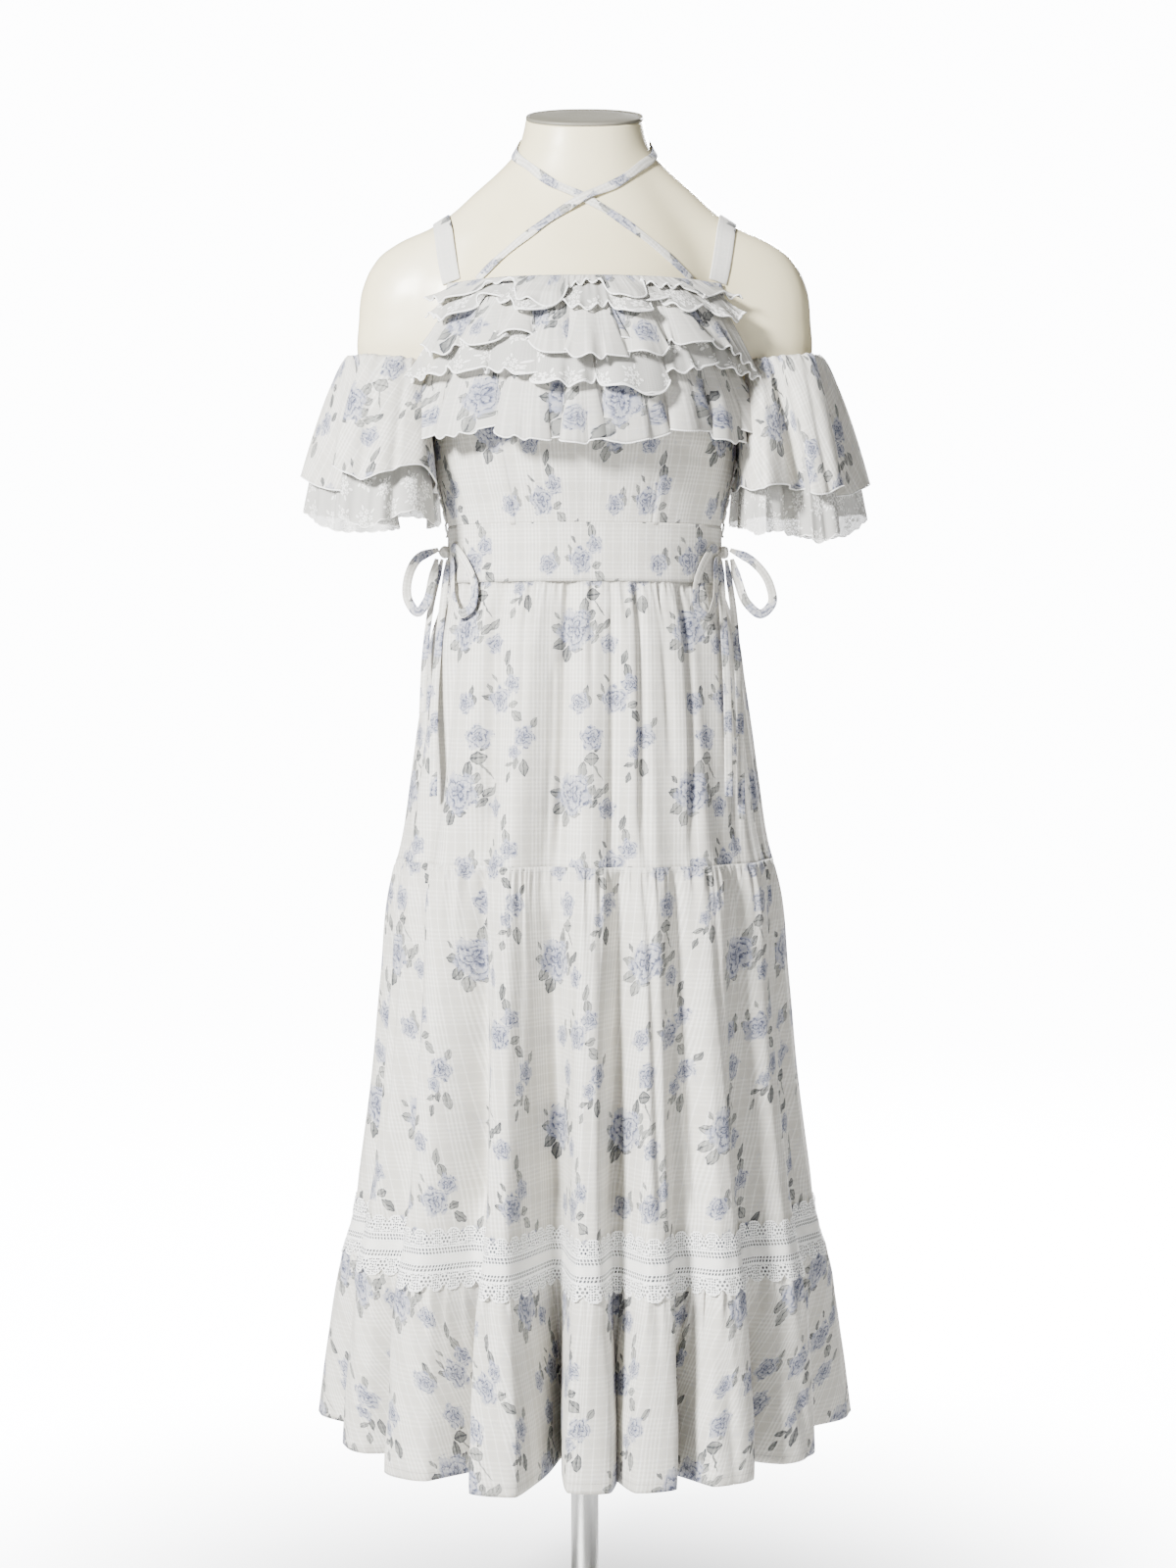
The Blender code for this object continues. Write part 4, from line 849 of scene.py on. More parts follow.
def formPoints(angle, height):
    # the neck leans: its rings tip towards the front, more so higher up
    points = polar(angle, formRadius(angle, height), height)
    share = limited((height - formSizes["tiltStartZ"]) / (formSizes["topZ"] - formSizes["tiltStartZ"]))
    points[..., 2] += share * share * formSizes["tilt"] * points[..., 1]
    return points


def makeForm(look):
    # rings of the form's oval by height; the cap and the stand are rings too
    heights = np.unique(np.concatenate([np.linspace(*row) for row in look["rows"]]))
    rings = formPoints(roundTurn(look["columns"])[None, :], heights[:, None])
    finished(closedLoft("formTorso", rings, shellMaterial), "form_shell", "form_torso")
    top, middle = rings[-1], rings[-1].mean(axis=0)
    lean = unit(np.array([0.0, -look["tilt"], 1.0]))
    rings = np.stack([mixed(middle, top, share) + lean * (look["gap"] + rise) for share, rise in look["cap"]])
    finished(closedLoft("formNeckCap", rings, capMaterial), "form_cap", "form_neck_cap")
    for node, count, profile in look["stand"]:
        radius, height = np.array(profile).T[:, :, None]
        rings = polar(roundTurn(count)[None, :], radius, height)
        finished(closedLoft(camel(node), rings, steelMaterial), "stand_steel", node)


makeForm(formSizes)
print("form made")

# ---- bodice and waistband
dressSizes = dict(necklineZ=1.248, backNecklineZ=1.236, underarmZ=1.134, waistTopZ=1.032, waistBottomZ=0.980,
                  laceTopZ=0.425, laceBottomZ=0.374, hemZ=0.222, hemRiseBack=0.010, clearance=0.0042,
                  cloth=0.0006, seam=0.00015)
halves = (("front", 0.0), ("back", np.pi))
sides = ((-1.0, "left"), (1.0, "right"))
bodiceSections = (  # height, half width, front depth, back depth
    (0.98, 0.1245, 0.0975, 0.0915), (1.01, 0.1238, 0.0965, 0.09), (1.032, 0.1245, 0.0985, 0.09),
    (1.06, 0.13, 0.107, 0.093), (1.09, 0.1365, 0.117, 0.0975), (1.134, 0.1392, 0.129, 0.102),
    (1.17, 0.139, 0.13, 0.1035), (1.2, 0.137, 0.125, 0.103), (1.236, 0.133, 0.11, 0.099),
    (1.248, 0.131, 0.104, 0.0975))


def bodiceRadius(angle, height):
    # the larger of the bodice's own oval and the form with a small clearance
    halfWidth, front, back = sectionAt(bodiceSections, height)
    own = ovalRadius(angle, halfWidth, front, back, formSizes["squareness"])
    return np.maximum(own, formRadius(angle, height) + dressSizes["clearance"])


def panelLimit(height, top, topAngle):
    # the side seam, then the armhole curving in to the neckline
    share = limited((height - dressSizes["underarmZ"]) / (top - dressSizes["underarmZ"]))
    return np.radians(mixed(90.0, topAngle, 1.0 - (1.0 - limited(share / 0.22)) ** 2))


def seamPlace(half):
    # how far the side edge of a half stays off the middle plane
    return 0.5 * dressSizes["seam"] * (1.0 if half == "back" else -1.0)


def sewnPanel(node, grid, uv, material):
    # a shell of cloth for one solid, with its place in the flat cloth
    item = clothShell(camel(node), grid, uv, dressSizes["cloth"], material)
    finished(item, "print_cotton", node)


bodiceCreases = (  # x and z of both ends in metres of cloth, depth, width
    (-0.15, 1.085, -0.07, 1.108, 0.0014, 0.006), (0.152, 1.08, 0.075, 1.105, 0.0015, 0.006),
    (-0.12, 1.05, -0.06, 1.062, 0.001, 0.005), (0.118, 1.052, 0.065, 1.068, 0.001, 0.0055),
    (-0.04, 1.058, 0.03, 1.05, 0.0008, 0.006), (0.01, 1.085, 0.062, 1.078, 0.0008, 0.007),
    (-0.078, 1.04, -0.07, 1.1, 0.0008, 0.005), (0.078, 1.04, 0.072, 1.1, 0.0008, 0.005),
    (-0.165, 1.12, -0.12, 1.1, 0.0012, 0.006), (0.168, 1.118, 0.125, 1.098, 0.0012, 0.006),
    (-0.09, 1.14, -0.055, 1.13, 0.0009, 0.007), (0.095, 1.2, 0.05, 1.19, 0.001, 0.007),
    (-0.1, 1.19, -0.045, 1.2, 0.001, 0.007))


bodiceLook = dict(seamX=0.079, seamRise=0.0010, seamReach=0.004, stitchUp=0.204, flatRadius=0.134, cut=0.42,
                  overlap=0.002, panels=(  # half, middle, top, angle of the top's end, columns, rows
                      ("front", 0.0, dressSizes["necklineZ"], 67.0, 150, 62),
                      ("back", np.pi, dressSizes["backNecklineZ"], 64.0, 120, 52)))


def makeBodice(look):
    # the bodice's radius with its creases, and a low ridge beside each bust seam
    seamX, reach, low = look["seamX"], look["seamReach"], dressSizes["waistTopZ"]
    material = printedCotton("bodiceCotton", seams=(-seamX, seamX), stitches=(look["stitchUp"],))
    for half, middle, top, topAngle, columns, rows in look["panels"]:
        height = np.linspace(low - look["overlap"], top, rows)[:, None]
        angle = middle + np.linspace(-1.0, 1.0, columns) * panelLimit(height, top, topAngle)
        flat = (angle - middle) * look["flatRadius"]
        radius = bodiceRadius(angle, height) + creases(flat, height, bodiceCreases)
        radius = radius + look["seamRise"] * bell((np.abs(flat) - seamX - reach) / reach)
        grid = polar(angle, radius, height)
        side = height[:, 0] < dressSizes["underarmZ"]
        grid[side, 0, 1] = grid[side, -1, 1] = seamPlace(half)
        sewnPanel(f"bodice_{half}", grid, uvGrid(flat, height - low), material)


waistbandLook = dict(
    rows=18, columns=150, swell=0.0007, lift=0.0005, flatRadius=0.122, printAcross=0.31, cut=(0.36, 0.052),
    stitches=(0.0022, 0.0497), creases=(  # as on the bodice
        (-0.17, 0.992, -0.09, 1.000, 0.0010, 0.005), (0.17, 1.000, 0.10, 1.006, 0.0010, 0.005),
        (-0.05, 1.010, 0.03, 1.014, 0.0007, 0.006), (0.02, 0.990, 0.09, 0.994, 0.0007, 0.005)))


def makeWaistband(look):
    # the bodice's radius with a slight swell between its two seams
    material = printedCotton("waistbandCotton", stitches=look["stitches"])
    bottom, seam = dressSizes["waistBottomZ"], dressSizes["seam"]
    height = np.linspace(bottom + seam, dressSizes["waistTopZ"] - seam, look["rows"])[:, None]
    swell = look["swell"] * np.sin(np.pi * (height - height[0]) / (height[-1] - height[0])) + look["lift"]
    for half, middle in halves:
        angle = middle + np.linspace(-0.5, 0.5, look["columns"]) * np.pi
        flat = (angle - middle) * look["flatRadius"]
        radius = bodiceRadius(angle, height) + creases(flat, height, look["creases"]) + swell
        grid = polar(angle, radius, height)
        grid[:, (0, -1), 1] = seamPlace(half)
        uv = uvGrid(flat + look["printAcross"], height - bottom)
        sewnPanel(f"waistband_{half}", grid, uv, material)


makeBodice(bodiceLook)
makeWaistband(waistbandLook)
print("bodice made")

# ---- the skirt: a smooth ridge line less the depth of its folds
skirtSections = (  # height, half width, front depth, back depth, along the ridges
    (0.222, 0.243, 0.262, 0.258), (0.289, 0.235, 0.246, 0.247), (0.374, 0.22, 0.226, 0.23),
    (0.401, 0.2115, 0.216, 0.221), (0.445, 0.206, 0.208, 0.214), (0.535, 0.1945, 0.191, 0.199),
    (0.624, 0.1865, 0.176, 0.185), (0.714, 0.1765, 0.161, 0.169), (0.736, 0.17, 0.154, 0.163),
    (0.803, 0.159, 0.14, 0.148), (0.848, 0.153, 0.131, 0.138), (0.892, 0.1465, 0.122, 0.126),
    (0.937, 0.1395, 0.112, 0.112), (0.965, 0.13, 0.1025, 0.099), (0.98, 0.1245, 0.0975, 0.0915))
foldHeights = (0.222, 0.400, 0.729, 0.980)
skirtFolds = (  # angle in degrees at the hem, depth in mm under the ridge line at waist, tier seam, lace, hem
    (-180, 2, 13, 46, 90), (-168, 0, 2, 5, 18), (-154, 2, 9, 34, 70), (-140, 0, 1, 3, 8),
    (-127, 2, 9, 34, 66), (-115, 0, 1, 4, 14), (-103, 1, 7, 24, 48), (-90, 0, 0, 0, 0), (-72, 1, 7, 20, 42),
    (-61, 0, 0, 4, 12), (-50, 2, 8, 28, 62), (-38, 0, 0, 2, 8), (-26, 2, 12, 44, 76), (-17, 0, 0, 0, 0),
    (-8, 3, 21, 72, 132), (1, 0, 2, 4, 20), (7.5, 1, 11, 42, 60), (14, 0, 1, 2, 14), (21.5, 1, 6, 26, 82),
    (30, 0, 0, 3, 10), (41, 2, 7, 26, 66), (53, 0, 1, 4, 14), (67, 1, 6, 20, 44), (90, 0, 0, 0, 0),
    (105, 1, 8, 28, 55), (119, 0, 1, 4, 12), (133, 2, 11, 38, 76), (147, 0, 1, 3, 10), (160, 2, 8, 30, 60),
    (171, 0, 1, 3, 14), (180, 2, 13, 46, 90))
foldDrift = 0.36          # how far the folds lie further round at the waist than at the hem, in radians
skirtSteepness = 0.13     # share of each half wave that stays flat at both its ends, low on the skirt


def foldDepth(angle, height):
    # half a cosine wave from each ridge to the next valley, steeper lower down, mixed between four heights
    table = np.array(skirtFolds)
    row, part = between(table, angle)
    steep = skirtSteepness * limited((0.80 - height) / 0.25)
    part = eased(limited((part - steep) / (1.0 - 2.0 * steep)))
    columns = table[:, :0:-1] * 0.001
    depths = mixed(columns[row], columns[row + 1], part[..., None])
    place = np.interp(height, foldHeights, np.arange(len(foldHeights)))
    low = np.clip(place.astype(int), 0, len(foldHeights) - 2)
    lower, upper = (np.take_along_axis(depths, low[..., None] + step, axis=-1)[..., 0] for step in (0, 1))
    return mixed(lower, upper, place - low)


def foldTurn(angle, height):
    # folds hang nearly straight down, so higher up the same fold lies further round: the angle less
    # a share of sin 2a that grows with the height
    share = limited((height - foldHeights[0]) / (foldHeights[2] - foldHeights[0])) ** 0.8
    return angle - 0.5 * foldDrift * share * np.sin(2.0 * angle)


def foldPlace(turn, height):
    # the angle at which foldTurn gives this turn, read backwards from a fine table
    every = np.linspace(-np.pi, 2.0 * np.pi, 1081)
    return np.interp(turn, foldTurn(every, height), every)


def skirtRadius(angle, height):
    # the oval through the ridges less the depth of the folds
    inside = (angle + np.pi) % (2.0 * np.pi) - np.pi
    halfWidth, front, back = sectionAt(skirtSections, height)
    ridge = ovalRadius(angle, halfWidth, front, back, formSizes["squareness"])
    return ridge - foldDepth(foldTurn(inside, height), height)


def halfTurns(half):
    # the table's angles that fall on one half
    turns = np.array(skirtFolds)[:, 0]
    back = np.concatenate([turns[turns >= 90.0], turns[(turns > -180.0) & (turns <= -90.0)] + 360.0])
    return np.radians(turns[np.abs(turns) <= 90.0] if half == "front" else back)


def foldLine(first, last, height):
    # the skirt's curve at one height between two turns, and the length along it
    fine = foldPlace(np.linspace(first, last, 60), height)
    curve = polar(fine, skirtRadius(fine, np.full_like(fine, height)), 0.0)
    return fine, runLength(curve)


def clothColumns(half, heights, low, spacing):
    # every ridge-to-valley stretch keeps its own columns at all heights, evenly spaced along the cloth,
    # so a column is one thread of the cloth; also gives each column's place in the flat cloth
    turns = halfTurns(half)
    pairs = list(zip(turns[:-1], turns[1:]))
    shares, flat = [], [np.zeros(1)]
    for first, last in pairs:
        size = foldLine(first, last, low)[1][-1]
        count = max(8, int(round(size / spacing)))
        shares.append(np.linspace(0.0, 1.0, count + 1)[1:])
        flat.append(flat[-1][-1] + size * shares[-1])
    rows = []
    for height in heights:
        row = [turns[:1]]
        for (first, last), share in zip(pairs, shares):
            fine, run = foldLine(first, last, height)
            row.append(np.interp(share * run[-1], run, fine))
        rows.append(np.concatenate(row))
    flat = np.concatenate(flat)
    return np.array(rows), flat - 0.5 * flat[-1]


frontTroughs = dict(  # angle at the seam and at the end, depth in mm, half width in degrees, start, end
    skirtTier1=(
        (-62, -54, 4.5, 2.4, 0, 0.9), (-43, -34, 9, 2.6, 0, 1), (-27, -21, 3.6, 1.6, 0, 0.6),
        (-8.4, -11, 11, 2.6, 0, 1), (4, 2, 3, 1.4, 0, 0.5), (13, 10, 5.5, 1.7, 0.1, 1),
        (26, 20.5, 9, 2.1, 0, 1), (37, 30, 3.8, 1.6, 0, 0.7), (49, 37, 7.5, 2.2, 0, 1),
        (64, 58, 4.8, 2.4, 0.1, 1), (-14, -15, 3.2, 1.3, 0.3, 1), (-78, -80, 4.5, 2.2, 0, 1),
        (78, 80, 4.5, 2.2, 0, 1)),
    skirtTier2=(
        (-66, -64, 5.5, 1.6, 0, 0.8), (-56, -56, 4.5, 1.4, 0, 0.7), (-36, -31, 14, 2.6, 0, 1),
        (-29, -25, 3.5, 1.2, 0, 0.6), (-20, -18.5, 4.5, 1.1, 0, 0.7), (-12.6, -9.6, 8, 2.2, 0.1, 1),
        (-3, -3, 3.5, 1.1, 0, 0.6), (12, 9.2, 13, 2.2, 0, 1), (19, 19, 5.5, 1.3, 0, 1),
        (30.5, 30.5, 8, 1.5, 0, 1), (41, 41, 5.5, 1.4, 0, 0.9), (53, 55, 5.5, 1.4, 0, 0.8),
        (66, 65, 6, 1.7, 0, 1), (-80, -80, 5.5, 1.6, 0, 1), (80, 80, 5.5, 1.6, 0, 1)),
    flounce=(
        (-56, -57, 4, 1.5, 0, 1), (-43, -43, 3, 1.2, 0, 1), (-29.5, -27, 9, 2, 0, 1),
        (-20, -21, 3, 1, 0, 1), (-12, -12, 3, 1, 0, 1), (-3, -3, 4, 1.1, 0, 1), (3, 3, 3, 1, 0, 1),
        (8.8, 7.8, 7, 1.8, 0, 1), (20.5, 20, 4, 1.1, 0, 1), (30, 30.5, 4, 1.2, 0, 1),
        (41, 41.5, 4, 1.3, 0, 1), (53, 53, 4, 1.4, 0, 1)))
tiers = (  # top, bottom, columns' spacing, gathers and pleats under the seam, and soft long folds
    dict(node="skirt_tier1", top=0.980, bottom=0.729, rows=58, spacing=0.0016, tuck=0.0030, gathers=62,
         height=0.0034, width=0.0030, lengths=(0.015, 0.090), folds=14, foldHeight=0.0030, gathered=0.22,
         seed=11),
    dict(node="skirt_tier2", top=0.729, bottom=0.3960, rows=66, spacing=0.0020, tuck=0.0030, gathers=96,
         height=0.0042, width=0.0034, lengths=(0.018, 0.110), folds=20, foldHeight=0.0034, gathered=0.22,
         seed=23),
    dict(node="flounce", top=0.3955, bottom=0.222, rows=46, spacing=0.0023, tuck=0.0, gathers=120,
         height=0.0052, width=0.0040, lengths=(0.026, 0.120), folds=20, foldHeight=0.0034, gathered=0.50,
         seed=37))
tierLook = dict(rowPower=1.12, backRows=0.75, backSpacing=1.7, printBack=0.9, stitchDown=0.0015,
                stitchUp=0.007)


def troughs(angle, share, rows):
    # long soft folds: bells across the angle whose middle wanders from one angle to another
    total = np.zeros(angle.shape)
    for start, end, depth, wide, first, last in rows:
        middle = mixed(start, end, share) + 0.5 * np.sin(share * 5.0 + start)
        near = limited((share - first) / 0.06 + 0.35) * limited((last - share) / 0.25 + 0.25 * (last > 0.95))
        near = near * (0.55 + 0.45 * share)
        total = total + 0.001 * depth * near * bell((np.degrees(angle) - middle) / wide)
    return total


def backTroughs(rng):
    # folds like the front's, unevenly spaced over the back half
    middles = np.arange(99.0, 264.0, 9.5) + rng.uniform(-3.0, 3.0, 18)
    return [(middle, middle + rng.uniform(-3.0, 3.0), rng.uniform(2.0, 6.5), rng.uniform(1.5, 3.0), 0.0,
             rng.uniform(0.5, 1.0)) for middle in middles]


def makeTier(look, half):
    # the skirt's radius with gathers and small pleats under the seam and a few long soft folds
    rng = np.random.default_rng(look["seed"] + (half == "back"))
    front, title, bottom, count = half == "front", camel(look["node"]), look["bottom"], look["gathers"]
    fall, flounce = look["top"] - bottom, look["node"] == "flounce"
    steps = look["rows"] if front else int(look["rows"] * tierLook["backRows"])
    down = (fall + look["tuck"]) * np.linspace(1.0, 0.0, steps) ** tierLook["rowPower"]
    heights = look["top"] + look["tuck"] - down
    spacing = look["spacing"] * (1.0 if front else tierLook["backSpacing"])
    angle, flat = clothColumns(half, heights, bottom, spacing)
    plain = level = heights[:, None] + 0.0 * angle
    share, reach = limited((look["top"] - level) / fall), flat[-1]
    start = dressSizes["laceBottomZ"] + 0.006 if flounce else look["top"]
    below, starting = np.clip(start - level, 0.0, None), limited((start - level + 0.002) / 0.006)
    high, wide, slow = look["height"], look["width"], look["foldHeight"]
    gathers = ridges(rng, flat, below, count, reach, (0.6 * wide, 1.3 * wide), look["lengths"],
                     (0.35 * high, 1.1 * high), 1.3)
    long = ridges(rng, flat, below * 0.55, look["folds"], reach, (0.008, 0.018), (0.12, 0.40),
                  (-0.9 * slow, slow), 0.8, 0.6)
    edgeFade = limited((reach - np.abs(flat)) / 0.012)
    detail = ((gathers - 0.50 * high) * starting - 0.0004 + long * limited(share * 4.0)) * edgeFade
    rows = frontTroughs[title] if front else backTroughs(rng)
    detail = detail - troughs(angle, share, rows) * edgeFade * starting
    if look["node"] == "skirt_tier1":     # small puckers where the next tier is sewn on
        detail = detail + ridges(rng, flat, level - bottom, count, reach, (0.0020, 0.0040), (0.006, 0.026),
                                 (-0.0006, 0.0012), spread=0.5)
    if look["node"] == "skirt_tier2":     # flat under the lace
        detail = detail * np.clip((level - dressSizes["laceTopZ"] + 0.004) / 0.030, 0.10, 1.0)
    radius = skirtRadius(angle, level) + detail
    if flounce:
        low = limited((0.30 - level) / 0.078)
        level = level + low * dressSizes["hemRiseBack"] * np.sin(0.5 * angle) ** 2
        level = level + low * 0.0016 * np.sin(flat * 47.0 + 1.0) * np.sin(flat * 19.0)
    grid = polar(angle - foldLean(angle, level), radius, level)
    grid[:, (0, -1), 1] = seamPlace(half)
    row = runLength(polar(angle - foldLean(angle, plain), skirtRadius(angle, plain), 0.0), axis=1)
    row = row - 0.5 * row[:, -1:]
    across = mixed(row, row[:1], look["gathered"]) + look["seed"] * 0.1
    across = across + (0.0 if front else tierLook["printBack"])
    stitch = dressSizes["hemZ"] + tierLook["stitchUp"] if flounce else look["top"] - tierLook["stitchDown"]
    material = printedCotton(title + half.capitalize() + "Cotton", stitches=(stitch,))
    cut = 2.0 * row[0, -1]
    sewnPanel(f"{look['node']}_{half}", grid, uvGrid(across, level), material)
    return cut


def foldLean(angle, height):
    # the sides of a fold lean over the valley beside it, more so towards the hem
    step = 0.004
    slope = (skirtRadius(angle + step, height) - skirtRadius(angle - step, height)) / (2.0 * step)
    beside = limited((1.0 - np.abs(np.sin(angle))) / 0.05)
    return np.clip(0.13 * slope, -0.045, 0.045) * limited((0.43 - height) / 0.16) * beside


for look in tiers:
    for half in ("front", "back"):
        print(look["node"], half, "flat width", round(makeTier(look, half), 3))


def makeLace(half):
    # one layer over the seam between the tier and the flounce, a little outside both
    heights = np.linspace(dressSizes["laceBottomZ"], dressSizes["laceTopZ"], 22)
    angle, flat = clothColumns(half, heights, heights[0], 0.0026)
    level = heights[:, None] + 0.0 * angle
    ripple = 0.0004 * np.sin(flat * 240.0) * np.sin(level * 300.0)
    grid = polar(angle - foldLean(angle, level), skirtRadius(angle, level) + 0.0014 + ripple, level)
    grid[:, (0, -1), 1] = 0.0
    uv = uvGrid(flat, level - 0.5 * (heights[0] + heights[-1]))
    item = clothFace("laceBand" + half.capitalize(), grid, uv, laceMaterial)
    finished(item, "white_lace", f"lace_band_{half}")


makeLace("front")
makeLace("back")
print("skirt made")

# ---- ruffles over the bust: ridges stand out and hang low, valleys go in and up
ruffles = (  # from the innermost out; distances in mm; waves: angle, how far out, rise of the edge
    dict(number=5, sewn=1.180, edge=1.110, topReach=67.5, reach=71.5, near=1.6, material="cotton",
         edgeRadius=0.0007, waves=(
        (-71, 10, 0), (-64, 17, -1), (-58.5, 8, 3), (-55.5, 7, 3), (-50, 18, -1), (-42, 17, 0),
        (-37, 15, 1), (-33, 5, 8), (-29.5, 6, 8), (-25.5, 19, -2), (-17, 18, -4), (-12.5, 14, -4),
        (-9, 6, -2), (-7.2, 7, -2), (-3.5, 19, -6), (1.5, 17, -5), (4.4, 5, 5), (6.4, 6, 5), (10, 18, -5),
        (17, 19, -5), (22, 16, -3), (27, 6, 3), (30, 6, 3), (34.5, 18, 0), (40, 15, 1), (44.5, 6, 3),
        (47, 7, 2), (51, 18, -3), (57, 16, -3), (61, 7, 2), (64.5, 16, 2), (71, 9, -1))),
    dict(number=4, sewn=1.230, edge=1.155, topReach=62.0, reach=69.0, near=1.7, material="net",
         edgeRadius=0.0008, waves=(
        (-69, 9, 2), (-60, 14, 4), (-52, 8, 6), (-42, 15, 5), (-36, 6, 3), (-28, 15, 4), (-22, 16, 3),
        (-17, 6, 0), (-12, 16, -2), (-4, 14, -4), (3, 7, 0), (11, 16, -5), (20, 15, -7), (26, 6, 0),
        (33, 15, 4), (42, 14, 7), (48, 7, 9), (58, 14, 6), (69, 9, 3))),
    dict(number=3, sewn=1.236, edge=1.181, topReach=61.5, reach=64.5, near=2.6, material="cotton",
         edgeRadius=0.0008, waves=(
        (-64.5, 8, 4), (-54, 15, 0), (-46, 7, 4), (-36, 17, 4), (-29.5, 7, 6), (-25, 17, 8), (-20.5, 7, 4),
        (-12, 17, -2), (-6, 8, 0), (0, 20, -4), (7, 17, -5), (11, 5, 2), (20, 17, -3), (29, 7, 2),
        (37, 19, 4), (42, 6, 6), (50, 15, 3), (64.5, 10, -6))),
    dict(number=2, sewn=1.241, edge=1.217, topReach=61.5, reach=65.0, near=2.2, material="net",
         edgeRadius=0.0008, waves=(
        (-65, 7, 0), (-52, 12, -3), (-42, 6, 3), (-38, 13, 8), (-33, 5, 3), (-29, 12, 4), (-20, 13, -3),
        (-10, 8, 2), (0, 12, -1), (9, 9, 1), (17, 13, -4), (21, 4, 5), (25, 13, 5), (29, 5, 3), (38, 12, 0),
        (48, 8, 2), (56, 12, -3), (65, 7, 0))),
    dict(number=1, sewn=1.247, edge=1.232, topReach=61.5, reach=66.0, near=2.3, material="cotton",
         edgeRadius=0.0008, waves=(
        (-66, 6, 0), (-55, 10, -2), (-45, 5, 3), (-36, 9, 6), (-31, 4, 4), (-22, 9, -5), (-14, 10, -8),
        (-6, 5, 2), (5, 10, 5), (12, 9, -4), (18, 10, -4), (24, 4, 4), (32, 9, 3), (42, 9, 3), (47, 4, -4),
        (56, 9, 2), (66, 5, 0))))
ruffleShape = dict(
    columns=340, rows=30, layerGap=0.0016, baseOut=4.0, outShare=1.22, hemShare=1.85, droop=0.32,
    middleOut=10.0, cloth=0.0005, flare=0.022, flareStart=56.0, printUp=0.050, tucks=74, curl=0.0017,
    layered=7.0)


def ruffleWave(look, angle):
    # half a cosine wave from each row of the table to the next: how far out, and how high the edge is
    table = np.array(look["waves"])
    row, part = between(table, angle)
    out, hem = (mixed(table[row, k], table[row + 1, k], eased(part)) for k in (1, 2))
    hem = hem * ruffleShape["hemShare"] - ruffleShape["droop"] * (out - ruffleShape["middleOut"])
    return out * 0.001, hem * 0.001     # ridges hang lower


def ownDistance(look, angle, height):
    # near the bodice at the seam, then out with the wave, and more so beside the bust
    share = np.clip((look["sewn"] - height) / (look["sewn"] - look["edge"]), 0.0, 1.15)
    far = 0.001 * ruffleShape["baseOut"] + ruffleShape["outShare"] * ruffleWave(look, angle)[0]
    beside = np.clip((np.abs(np.degrees(angle)) - ruffleShape["flareStart"]) / 14.0, 0.0, 1.2)
    far = far + ruffleShape["flare"] * beside * beside
    return 0.001 * look["near"] * (1.0 - share) + far * share ** 0.92


def stackedDistance(looks, angle, height):
    # the larger of a ruffle's own distance and the one beneath with a gap: a root of the sum of powers
    distance, power = ownDistance(looks[0], angle, height), ruffleShape["layered"]
    for under, look in zip(looks[:-1], looks[1:]):
        own = ownDistance(look, angle, height)
        over = np.maximum(own, 0.0) ** power + (distance + ruffleShape["layerGap"]) ** power
        distance = mixed(own, over ** (1.0 / power), limited((under["sewn"] - height) / 0.004))
    return distance


def makeRuffle(place):
    # rows run from the edge up to the seam; columns are even along the wavy edge and narrow towards the seam
    look, shape = ruffles[place], ruffleShape
    rng = np.random.default_rng(70 + look["number"])
    fall, cotton = look["sewn"] - look["edge"], look["material"] == "cotton"
    share = np.linspace(1.0, 0.0, shape["rows"])[:, None] ** 0.9
    fine = np.radians(np.linspace(-look["reach"], look["reach"], 1400))
    out, hem = ruffleWave(look, fine)
    run = runLength(np.stack([0.150 * fine, out * 1.5, hem], axis=1))
    columns = np.interp(np.linspace(0.0, run[-1], shape["columns"]), run, fine)
    angle = columns * mixed(look["topReach"], look["reach"], share) / look["reach"]
    out, hem = ruffleWave(look, columns)
    height = look["sewn"] - fall * share + hem * share ** 1.6
    distance = stackedDistance(ruffles[:place + 1], angle, height)
    slope = np.gradient(out) / np.gradient(columns)     # folds curl over towards the hem, one way more
    lean = np.clip(np.where(slope > 0.0, slope * 0.35, slope * 0.70), -0.105, 0.062)
    angle = angle - lean * share ** 1.4
    flat = 0.5 * run[-1] * np.interp(columns, fine, run / run[-1] * 2.0 - 1.0)
    tucks = ridges(rng, flat, fall * share, shape["tucks"], flat.max(), (0.0014, 0.0030), (0.010, 0.050),
                   (0.0006, 0.0018), 1.0)
    curl = shape["curl"] * share ** 4 * np.sin(flat * 300.0 + 3.0 * np.sin(flat * 61.0))
    curl = curl * (1.4 if look["number"] < 5 else 0.8)
    height = height + curl
    radius = bodiceRadius(angle, np.minimum(height, dressSizes["necklineZ"])) + distance + tucks
    grid = polar(angle, radius + 0.5 * (curl + np.abs(curl)), height)
    up = fall * (1.0 - share) + (shape["printUp"] if cotton else 0.0)
    uv, node = uvGrid(flat + 0.23 * look["number"], up), f"ruffle_{look['number']}"
    item = (clothShell(camel(node), grid, uv, shape["cloth"], cottonSheer) if cotton
            else clothFace(camel(node), grid, uv, netMaterial))
    finished(item, "print_cotton" if cotton else "white_tulle", node)
    facing = gridNormals(grid, False)[0]
    middle = grid[0] - facing * 0.5 * shape["cloth"]
    rim = cordTube(item.name + "Edge", middle, facing, look["edgeRadius"], threadMaterial, 6)
    finished(rim, "white_tulle")


for place in range(len(ruffles)):
    makeRuffle(place)
print("ruffles made")

